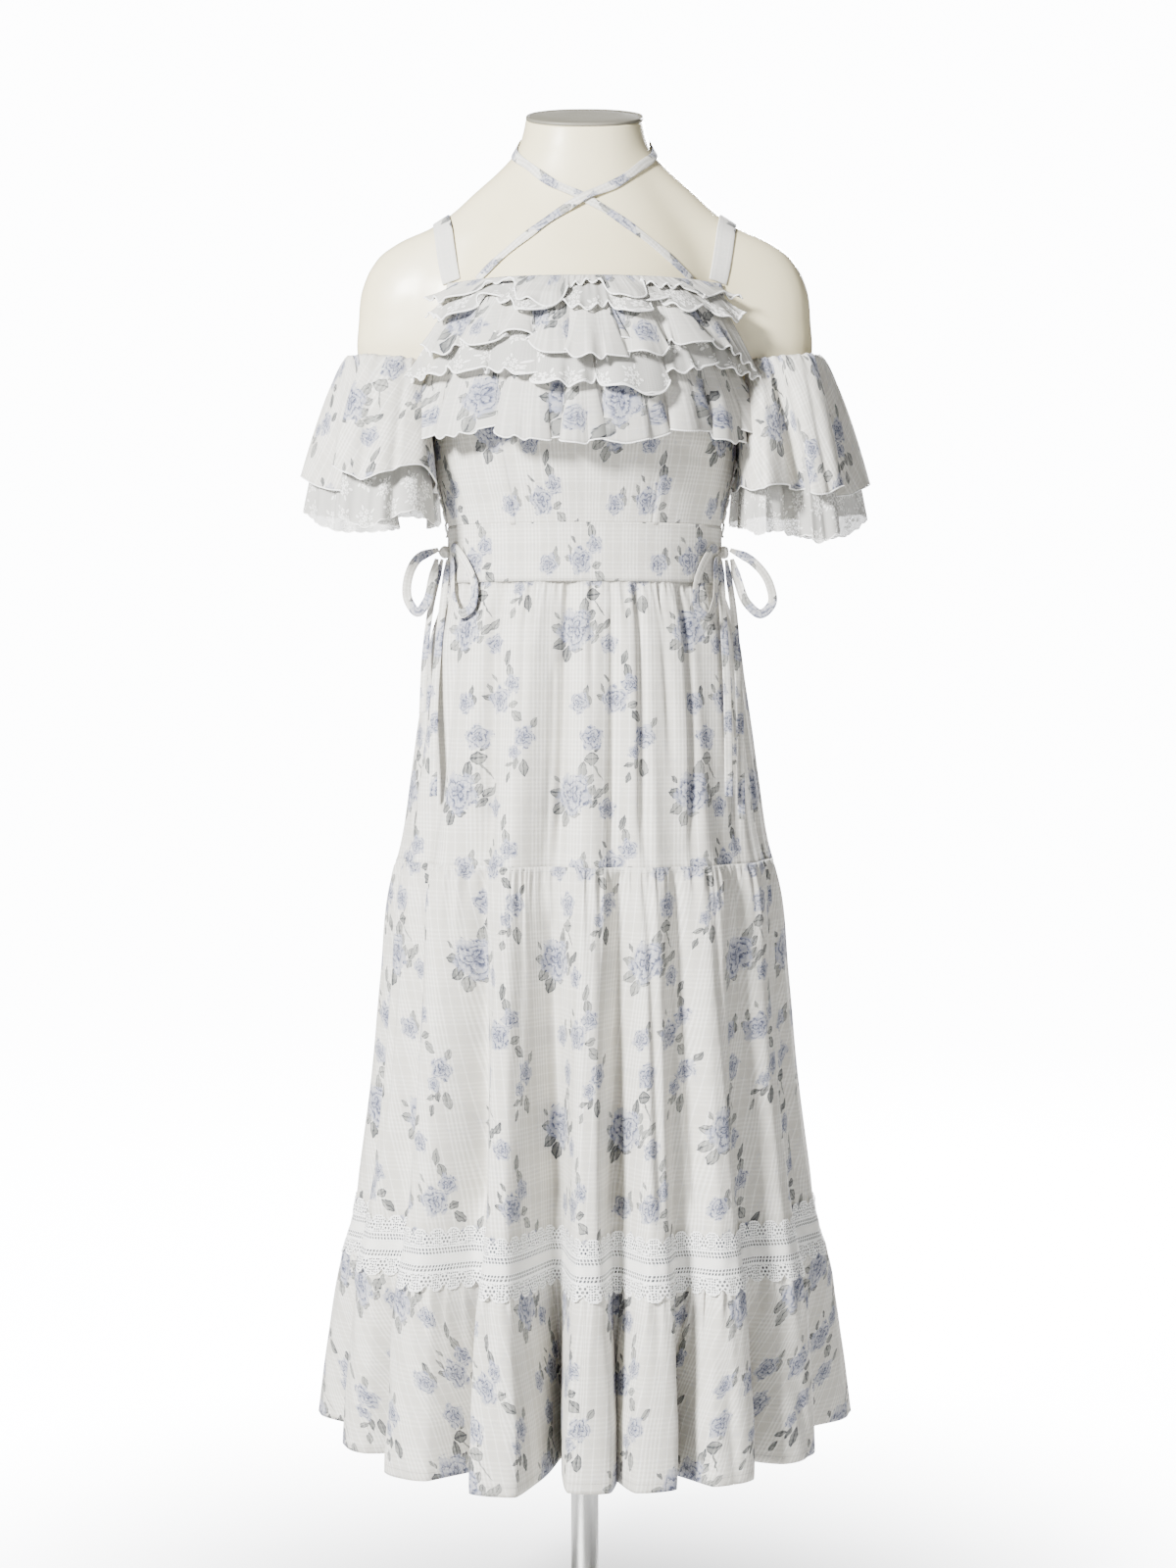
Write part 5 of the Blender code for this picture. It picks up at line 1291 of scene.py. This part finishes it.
# ---- sleeves: a gathered flounce round each arm with a net flounce under it
# the turn starts at the outside and runs by the front; distances in mm
sleeveShape = dict(topZ=1.187, topDip=0.053, outerDip=0.009, centre=0.1775, halfWidth=0.0365,
                   halfDepth=0.0525, squareness=3.4, roundness=2.1, cloth=0.0005, edgeRadius=0.0007,
                   bias=math.radians(26.0))
sleeveBack = (  # turn, outward, front (negative) to back, height of the hem; the half that faces back
    (176, 138, -15, 1065), (190, 137, 22, 1066), (206, 130, 56, 1068), (222, 142, 85, 1073),
    (238, 170, 97, 1075), (256, 193, 98, 1072), (270, 207, 90, 1078), (282, 198, 72, 1074),
    (292, 192, 54, 1070), (306, 212, 47, 1069), (322, 237, 41, 1073), (342, 254, 24, 1077))
sleeveFronts = dict(  # the same columns, for the half that faces front
    left=(
        (0, 259.3, 5, 1079.7), (14, 241.7, -20, 1068.9), (27, 220.8, -35, 1064.3), (40, 190, -40, 1066),
        (47, 187, -56, 1067.7), (54, 208, -72, 1075.4), (62, 221.5, -87, 1082.2), (72, 214, -98, 1077),
        (82, 203, -104, 1073.1), (90, 194, -107, 1069.5), (102, 179, -109, 1074.6),
        (120, 160, -105, 1080.8), (135, 141, -95, 1081.5), (148, 132, -76, 1069.9), (162, 133, -50, 1067)),
    right=(
        (0, 261, 5, 1072.5), (12, 251, -20, 1066.3), (24, 238, -34, 1060), (36, 212, -42, 1059),
        (44, 210, -58, 1062.3), (53, 228, -76, 1065.6), (63, 224, -92, 1062.8), (76, 208, -102, 1056),
        (88, 196, -100, 1058.6), (97, 189, -80, 1063.7), (106, 178, -88, 1065.7), (122, 159, -107, 1063.4),
        (135, 148, -98, 1059.8), (148, 141, -78, 1063.7), (162, 139, -50, 1067)))
sleeveFolds = dict(  # turn at the top and at the hem, depth in mm, half width in degrees
    left=(
        (62, 47, 19, 8), (20, 20, 3.5, 6), (88, 88, 3.5, 5), (116, 114, 4.5, 6), (246, 258, 4, 6),
        (276, 290, 7, 6), (322, 332, 4, 7)),
    right=(
        (36, 41, 12, 6), (15, 18, 3, 5), (74, 70, 3.5, 4.5), (104, 98, 11, 7), (124, 126, 3, 5),
        (248, 260, 4.5, 6), (278, 288, 7, 6), (326, 330, 4, 7)))
sleeveLayers = (
    dict(name="sleeve", node="sleeve", first=0.0, drop=0.0, inside=0.0, rows=44, columns=290, cotton=True,
         seed=5, gathers=58, gatherHeight=0.0026, ripple=0.0),
    dict(name="sleeveNet", node="sleeve_lace", first=0.30, drop=0.034, inside=0.0035, rows=36, columns=300,
         cotton=False, seed=9, gathers=30, gatherHeight=0.0008, ripple=0.0022))


def sleeveHem(word, turn):
    # the hem's own closed curve through the table, by turn in degrees
    rows = np.array(sleeveFronts[word] + sleeveBack, float)
    rows = rows[np.argsort(rows[:, 0])]
    whole = np.array([360.0, 0.0, 0.0, 0.0])
    rows = np.concatenate([rows[-3:] - whole, rows, rows[:3] + whole])
    return smoothCurve(rows[:, 0], rows[:, 1:] * 0.001, turn)


def sleeveTop(turn):
    # a squared oval whose edge dips under the arm on the body's side
    angle, shape = np.radians(turn), sleeveShape
    across, along = np.cos(angle), np.sin(angle)
    inward = 0.5 - 0.5 * across
    power = 2.0 / mixed(shape["roundness"], shape["squareness"], inward)
    x = shape["centre"] + shape["halfWidth"] * np.sign(across) * np.abs(across) ** power
    y = -shape["halfDepth"] * np.sign(along) * np.abs(along) ** power
    inner = limited((np.abs(turn - 180.0) - 14.0) / 30.0)
    dip = shape["topDip"] * (1.0 - inner * inner * (3.0 - 2.0 * inner)) + shape["outerDip"] * inward
    return np.stack([x, y, shape["topZ"] - np.minimum(dip, shape["topDip"])], axis=-1)


def makeSleeve(side, word, look):
    # rows run from the hem's curve up to the oval; the flare leaves the top steeply and eases off
    rng = np.random.default_rng(look["seed"] + (side > 0.0))
    fine = np.linspace(0.0, 360.0, 1441)
    run = runLength(sleeveHem(word, fine))
    turn = np.interp(np.linspace(0.0, run[-1], look["columns"] + 1)[:-1], run, fine)
    hem, top = sleeveHem(word, turn)[None], sleeveTop(turn)[None]
    step = np.linspace(1.0, 0.0, look["rows"])[:, None]
    place = look["first"] + (1.0 - look["first"]) * step
    points = top + (hem - top) * place[..., None] ** np.array([0.66, 0.80, 1.0])
    points[..., 2] -= look["drop"] * step ** 1.3 * (1.0 + 0.25 * np.sin(np.radians(turn)))
    flat = roundTurn(look["columns"]) - np.pi
    high = look["gatherHeight"]
    waves = ridges(rng, flat, place * 0.11, look["gathers"], np.pi, (0.028, 0.060), (0.015, 0.075),
                   (0.4 * high, high), 1.0)
    waves = waves + look["ripple"] * step * np.sin(flat * 23.0 + 2.0 * np.sin(flat * 5.0))
    for topTurn, hemTurn, depth, wide in sleeveFolds[word]:
        away = turn - mixed(topTurn, hemTurn, step)
        away = away / np.where(away > 0.0, 0.45 * wide, 1.2 * wide)     # steeper on the later side
        waves = waves - 0.001 * depth * place ** 0.66 * bell(away)
    if side > 0.0:
        points, waves = points[:, ::-1], waves[:, ::-1]
    points = points * np.array([side, 1.0, 1.0])
    points = points + gridNormals(points, True) * (waves - look["inside"])[..., None]
    run = runLength(np.concatenate([points[0], points[0][:1]]))
    height = np.linalg.norm(points[-1] - points[0], axis=-1).mean()
    across = run - run[np.argmin(points[0, :, 1])]
    across = across * (1.0 - 0.34 * (1.0 - place) * bell(across / 0.11))
    up, title = (1.0 - step) * height + 0.0 * across, look["name"] + word.capitalize()
    if look["cotton"]:      # cut on the slant of the cloth, with a rolled edge
        lean = side * sleeveShape["bias"]
        across, up = (across * math.cos(lean) + up * math.sin(lean) + 0.37 * (side > 0.0) + 0.09,
                      up * math.cos(lean) - across * math.sin(lean) + 0.04)
        item = clothShell(title, points, uvGrid(across, up), sleeveShape["cloth"], cottonPlain, closed=True)
        facing = gridNormals(points, True)[0]
        middle = points[0] - facing * 0.5 * sleeveShape["cloth"]
        rim = closedTube(title + "Edge", middle, facing, sleeveShape["edgeRadius"], threadMaterial)
        finished(rim, "white_tulle")
    else:
        item = clothFace(title, points, uvGrid(across, up), netMaterial, closed=True)
    finished(item, "print_cotton" if look["cotton"] else "white_tulle", f"{look['node']}_{word}")


for side, word in sides:
    for look in sleeveLayers:
        makeSleeve(side, word, look)
print("sleeves made")


# ---- straps, halter ties, bows and side lacing
def formGap(points):
    # how far points lie outside the form, level with the axis
    angle = np.arctan2(points[..., 0], -points[..., 1])
    return np.hypot(points[..., 0], points[..., 1]) - formRadius(angle, points[..., 2])


def formExit(inside, direction):
    # where lines from inside the form come out of it, by halving the way thirty times
    near, far = np.zeros(len(inside)), np.full(len(inside), 0.2)
    for _ in range(30):
        middle = 0.5 * (near + far)
        outside = formGap(inside + direction * middle[:, None]) > 0.0
        far, near = np.where(outside, middle, far), np.where(outside, near, middle)
    return inside + direction * far[:, None]


def evened(directions, passes):
    # directions along a band, each averaged with its neighbours a few times
    found = unit(directions)
    for _ in range(passes):
        middle = 0.25 * found[:-2] + 0.5 * found[1:-1] + 0.25 * found[2:]
        found = unit(np.concatenate([found[:1], middle, found[-1:]]))
    return found


strapLook = dict(width=0.0175, thickness=0.0011, lift=0.0016, points=90, pivotZ=1.215,
                 route=((34.0, 0.1185), (50.0, 0.1225), (90.0, 0.1300), (130.0, 0.1230), (157.0, 0.1125)))


def makeStraps(look):
    # a band laid over the shoulder: points where lines from a pivot in the form come out of it
    table = np.array(look["route"])
    turn = np.linspace(table[0, 0], table[-1, 0], look["points"])
    x, turn = smoothCurve(table[:, 0], table[:, 1], turn), np.radians(turn)
    direction = np.stack([0.0 * turn, -np.cos(turn), np.sin(turn)], axis=1)
    for side, word in sides:
        surface = formExit(np.stack([side * x, 0.0 * turn, 0.0 * turn + look["pivotZ"]], axis=1), direction)
        slopes = [formGap(surface + 0.001 * axis) - formGap(surface - 0.001 * axis) for axis in np.eye(3)]
        facing = evened(np.stack(slopes, axis=-1), 60)
        middle = surface + facing * look["lift"]
        across = evened(np.cross(np.gradient(middle, axis=0), facing), 30)
        band(f"strap_{word}", middle, across, facing, look["width"], look["thickness"], *strapCut)


tieLook = dict(width=0.0090, tailWidth=0.0070, thickness=0.0014, lift=0.0014, tailLift=0.0018,
               crossing=0.0026, bump=11.0, points=150, tailPoints=60,
               route=((-54, 1.2480), (-42, 1.274), (-24, 1.301), (0, 1.3215), (26, 1.336), (56, 1.359),
                      (90, 1.379), (130, 1.386), (174, 1.386)),
               tails=dict(left=((184, 1.3825), (188, 1.350), (190, 1.310), (190, 1.262)),
                          right=((176, 1.3825), (172, 1.350), (169, 1.310), (168, 1.250))),
               knotHalf=(0.0060, 0.0036, 0.0052), knotPlace=(180.0, 1.386, 0.0041))


def formRoute(route, count, lift):
    # a line over the form through rows of angle and height, with its directions
    table = np.array(route)
    chord = polar(np.radians(table[:, 0]), 0.12, table[:, 1])
    place = runLength(chord)
    both = smoothCurve(place, table, np.linspace(0.0, place[-1], count))
    angle, height = np.radians(both[:, 0]), both[:, 1]
    small = 0.0015
    alongAngle = formPoints(angle + small / 0.1, height) - formPoints(angle - small / 0.1, height)
    alongHeight = formPoints(angle, height + small) - formPoints(angle, height - small)
    facing = unit(np.cross(alongAngle, alongHeight))
    middle = formPoints(angle, height) + facing * lift
    return middle, np.cross(np.gradient(middle, axis=0), facing), facing


def makeKnot(node, middle, half, material):
    # an egg shape with three wraps of cloth round it
    around, top = roundTurn(40)[None, :], 0.5 * np.pi - 0.12
    rise = np.linspace(-top, top, 26)[:, None]
    wrap = 1.0 + 0.16 * np.sin(3.0 * around + 2.6 * rise) + 0.04 * np.sin(7.0 * around - 4.0 * rise)
    egg = polar(around, np.cos(rise) * wrap, np.sin(rise) + 0.0 * around)
    finished(closedLoft(camel(node), np.array(middle) + egg * np.array(half), material), "print_cotton", node)


def makeNeckTies(look):
    # bands along routes over the form; one crosses over the other on a bell
    for (side, word), bump in zip(sides, (look["crossing"], 0.0)):
        route = [(-side * angle, height) for angle, height in look["route"]]
        middle, across, facing = formRoute(route, look["points"], look["lift"])
        angle = np.degrees(np.arctan2(middle[:, 0], -middle[:, 1]))
        middle = middle + facing * (bump * bell(angle / look["bump"]))[:, None]
        width = look["width"] * (1.0 - 0.16 * np.sin(runLength(middle) * 70.0 + side) ** 2)
        band(f"neck_tie_{word}", middle, across, facing, width, look["thickness"], *ribbonCut)
    angle, height, lift = look["knotPlace"]
    place = formPoints(np.radians([angle]), np.array([height]))[0] + np.array([0.0, lift, 0.0])
    makeKnot("neck_knot", place, look["knotHalf"], cottonRibbon)
    for word, route in look["tails"].items():
        middle, across, facing = formRoute(route, look["tailPoints"], look["tailLift"])
        width = look["tailWidth"] * (0.45 + 0.55 * limited(runLength(middle) / 0.014))
        item = band(f"neck_tail_{word}", middle, across, facing, width, look["thickness"], *ribbonCut)


def dressSections(height):
    # half width and depth of the dress at a height, above and below the waist
    upper, lower = sectionAt(bodiceSections, height), sectionAt(skirtSections, height)
    above = height > dressSizes["waistBottomZ"]
    return np.where(above, upper[0], lower[0]), np.where(above, upper[1], lower[1])


def layOnFront(x, height, lift):
    # points on the front of the dress at x and z, and the way the cloth faces there
    power = formSizes["squareness"]
    halfWidth, front = dressSections(height)
    share = np.clip(np.abs(x) / (halfWidth + lift), 0.0, 0.9999)
    y = -(front + lift) * (1.0 - share ** power) ** (1.0 / power)
    along = -(np.abs(y) / front) ** (power - 1.0) / front
    facing = np.stack([np.sign(x) * share ** (power - 1.0) / halfWidth, along, 0.0 * x], axis=-1)
    return np.stack([x, y, height], axis=-1), unit(facing)


bowLook = dict(
    points=90, tailPoints=110, width=0.0084, thickness=0.0011, tailWidth=0.0076, loopLift=0.0040,
    tailLift=0.0036, sideY=-0.014,
    knotHalf=(0.0048, 0.0040, 0.0058), knotLift=0.0049, taper=0.014, narrow=0.45,
    knots={"left": (-0.1265, 1.0090), "right": (0.1255, 1.0085)},
    outerLoops={"left": ((-0.1322, 1.0115), (-0.1510, 1.0030), (-0.1600, 0.9850), (-0.1590, 0.9640),
                         (-0.1510, 0.9545), (-0.1430, 0.9640), (-0.1380, 0.9830), (-0.1337, 1.0030)),
                "right": ((0.1312, 1.0110), (0.1510, 1.0010), (0.1670, 0.9800), (0.1690, 0.9620),
                          (0.1590, 0.9530), (0.1470, 0.9620), (0.1385, 0.9820), (0.1328, 1.0025))},
    frontLoops={"left": ((-0.1150, 1.0105), (-0.1055, 0.9970), (-0.0975, 0.9750), (-0.1005, 0.9570),
                         (-0.1090, 0.9520), (-0.1160, 0.9620), (-0.1185, 0.9830), (-0.1188, 0.9990)),
                "right": ((0.1140, 1.0100), (0.1060, 0.9970), (0.0990, 0.9740), (0.1010, 0.9545),
                          (0.1085, 0.9490), (0.1150, 0.9600), (0.1175, 0.9820), (0.1180, 0.9980))},
    tails={"left": (((-0.1385, 0.9650), (-0.1435, 0.9200), (-0.1450, 0.8640)),
                    ((-0.1275, 0.9600), (-0.1325, 0.8900), (-0.1330, 0.7910))),
           "right": (((0.1235, 0.9600), (0.1260, 0.8900), (0.1265, 0.7910)),
                     ((0.1345, 0.9550), (0.1375, 0.8800), (0.1380, 0.7710)))},
    loopStarts=((0.0050, -0.0036, 0.0022), (0.0050, -0.0036, -0.0034)),
    tailStarts=((-0.0024, 0.0012, -0.0064), (0.0026, 0.0008, -0.0064)))


def knotRoute(seen, lift, before, after, knot, side, look):
    # from the knot along points laid on the dress, and back to the knot for a loop
    seen = np.array(seen)
    laid = layOnFront(seen[:, 0], seen[:, 1], lift)[0]
    laid[:, 1] = np.minimum(laid[:, 1], look["sideY"])
    inward = np.array([-side, 1.0, 1.0])
    ends = [[knot + inward * np.array(offset)] for offset in (before, after) if offset is not None]
    return np.concatenate([ends[0], laid] + ends[1:])


def narrowed(middle, width, bothEnds, look):
    # a band's width, less near the knot
    run = runLength(middle)
    near = np.minimum(run, run[-1] - run) if bothEnds else run
    return width * mixed(look["narrow"], 1.0, limited(near / look["taper"]))


def makeBows(look):
    # each bow has a knot, a loop that stands out to the side, a loop on the front and two tails
    count = look["points"]
    for side, word in sides:
        x, height = look["knots"][word]
        knot = layOnFront(np.array([x]), np.array([height]), look["knotLift"])[0][0]
        makeKnot(f"bow_{word}_knot", knot, look["knotHalf"], cottonRibbon)
        middle = np.insert(evenLine(look["outerLoops"][word], count), 1, knot[1], axis=1)
        sway, tilt = np.sin(np.linspace(0.0, 5.0, count)), np.sin(np.linspace(0.0, 6.0, count))
        middle[:, 1] += 0.0035 * np.sin(np.linspace(0.0, np.pi, count)) * sway
        facing = np.array([0.0, -1.0, 0.0]) + 0.35 * tilt[:, None] * np.array([1.0, 0.0, 0.4])
        bands = [(f"bow_{word}_outer_loop", middle, facing, look["width"])]
        route = knotRoute(look["frontLoops"][word], look["loopLift"], *look["loopStarts"], knot, side, look)
        middle = evenLine(route, count)
        facing = layOnFront(middle[:, 0], middle[:, 2], look["tailLift"])[1]
        bands.append((f"bow_{word}_front_loop", middle, facing, look["width"]))
        for number, seen in enumerate(look["tails"][word], 1):
            start = look["tailStarts"][0 if (number == 1) == (word == "left") else 1]
            route = knotRoute(seen, look["tailLift"], start, None, knot, side, look)
            middle = evenLine(route, look["tailPoints"])
            facing = layOnFront(middle[:, 0], middle[:, 2], look["tailLift"])[1]
            facing = unit(0.45 * facing - np.array([0.0, 0.55, 0.0]))
            bands.append((f"bow_{word}_tail_{number}", middle, facing, look["tailWidth"]))
        for node, middle, facing, width in bands:
            across = np.cross(np.gradient(middle, axis=0), facing)
            item = band(node, middle, across, facing, narrowed(middle, width, "loop" in node, look),
                        look["thickness"], *ribbonCut)


lacingLook = dict(topZ=1.092, bottomZ=1.024, turns=6, halfWidth=0.0095, lift=0.0019, radius=0.0011,
                  tapeDistance=0.0136, tapeLift=0.0010, tapeWidth=0.0034, tapeThickness=0.0012, loops=7,
                  loopHalf=0.0026, loopReach=0.0034, loopStart=0.0014, loopLift=0.0016, loopRadius=0.0005)


def sidePoints(side, offset, height, lift):
    # points beside the middle of the side, and the way out from the body there
    angle = side * (0.5 * np.pi + offset / sectionAt(bodiceSections, height)[0])
    return polar(angle, bodiceRadius(np.abs(angle), height) + lift, height), polar(angle, 1.0, 0.0)


def makeLacing(look):
    # a zigzag lace between two tapes, each with a row of small thread loops
    count, tape = 16 * look["turns"] + 1, look["tapeDistance"]
    zigzag = np.sin(0.5 * np.pi * np.linspace(0.0, 4.0 * look["turns"], count))
    zigzag = look["halfWidth"] * np.sign(zigzag) * np.abs(zigzag) ** 0.75
    height = np.linspace(look["bottomZ"], look["topZ"], count)
    tapeHeight = np.linspace(look["bottomZ"] + 0.012, look["topZ"], 60)
    turn = np.linspace(-0.5 * np.pi, 0.5 * np.pi, 14)
    reach = tape - look["loopStart"] - look["loopReach"] * np.cos(turn)
    centres = np.linspace(look["bottomZ"] + 0.016, look["topZ"] - 0.004, look["loops"])
    for side, word in sides:
        middle, facing = sidePoints(side, zigzag, height, look["lift"])
        item = cordTube("sideLace" + word.capitalize(), middle, facing, look["radius"], threadMaterial)
        finished(item, "print_cotton", f"side_lace_{word}")
        for place, sign in (("front", -1.0), ("back", 1.0)):
            middle, facing = sidePoints(side, np.full(60, sign * tape), tapeHeight, look["tapeLift"])
            across = np.cross(np.gradient(middle, axis=0), facing)
            item = band(f"side_loops_{word}_{place}", middle, across, facing, look["tapeWidth"],
                        look["tapeThickness"], cottonPlain)
            rise = look["loopHalf"] * np.sin(turn)
            loops = [sidePoints(side, sign * reach, centre + rise, look["loopLift"]) for centre in centres]
            bodies = [cordRings(middle, facing, look["loopRadius"], 6) for middle, facing in loops]
            finished(joinedLofts(item.name + "Threads", bodies, threadMaterial), "white_tulle")


makeStraps(strapLook)
makeNeckTies(tieLook)
makeBows(bowLook)
makeLacing(lacingLook)
print("straps, ties and bows made")


# ---- studio: a pale floor in pale air, soft lights before and behind
studioLook = dict(floor=40.0, air=(0.97, 0.98, 1.0, 1.0), airSeen=14.0, airLight=0.05, lights=(
    ("key", (-2.0, -2.4, 2.4), (0.0, 0.0, 0.85), 0.6, 575.0),
    ("fill", (2.0, -2.6, 1.3), (0.0, 0.0, 0.90), 1.6, 30.0),
    ("back", (1.0, 2.9, 2.5), (0.0, 0.0, 0.85), 0.6, 470.0)))


def makeStudio(look):
    half = 0.5 * look["floor"]
    line = np.linspace(-half, half, 3)
    grid = uvGrid(line, line[:, None])
    corners = np.concatenate([grid, np.zeros((3, 3, 1))], axis=-1)
    material, tree = newMaterial("paleFloor")
    away = length(put(tree, "TexCoord").outputs["Object"])
    seen = put(tree, "LightPath").outputs["Is Camera Ray"]
    # far out the floor takes on the brightness of the air, so no horizon shows
    dressed(material, Emission_Strength=times(times(edge(away, 0.15, 1.1), seen), look["airSeen"]),
            Emission_Color=look["air"], Base_Color=shade(200, 200, 200), Roughness=0.9)
    clothFace("studioFloor", corners, grid, material)
    for name, place, target, size, power in look["lights"]:
        data = bpy.data.lights.new(name, "AREA")
        data.energy = power
        data.size = size
        lamp = bpy.data.objects.new(name, data)
        lamp.location = place
        away = np.array(target) - np.array(place)
        lamp.rotation_euler = (math.atan2(math.hypot(away[0], away[1]), -away[2]), 0.0,
                               math.atan2(-away[0], away[1]))
        bpy.context.scene.collection.objects.link(lamp)
    world = bpy.data.worlds.new("studioAir")
    world.use_nodes = True
    tree = world.node_tree
    seen = put(tree, "LightPath").outputs["Is Camera Ray"]
    background = tree.nodes["Background"]
    feed(background.inputs[0], look["air"])
    feed(background.inputs[1], timesPlus(seen, look["airSeen"], look["airLight"]))
    bpy.context.scene.world = world


makeStudio(studioLook)
print("studio made")
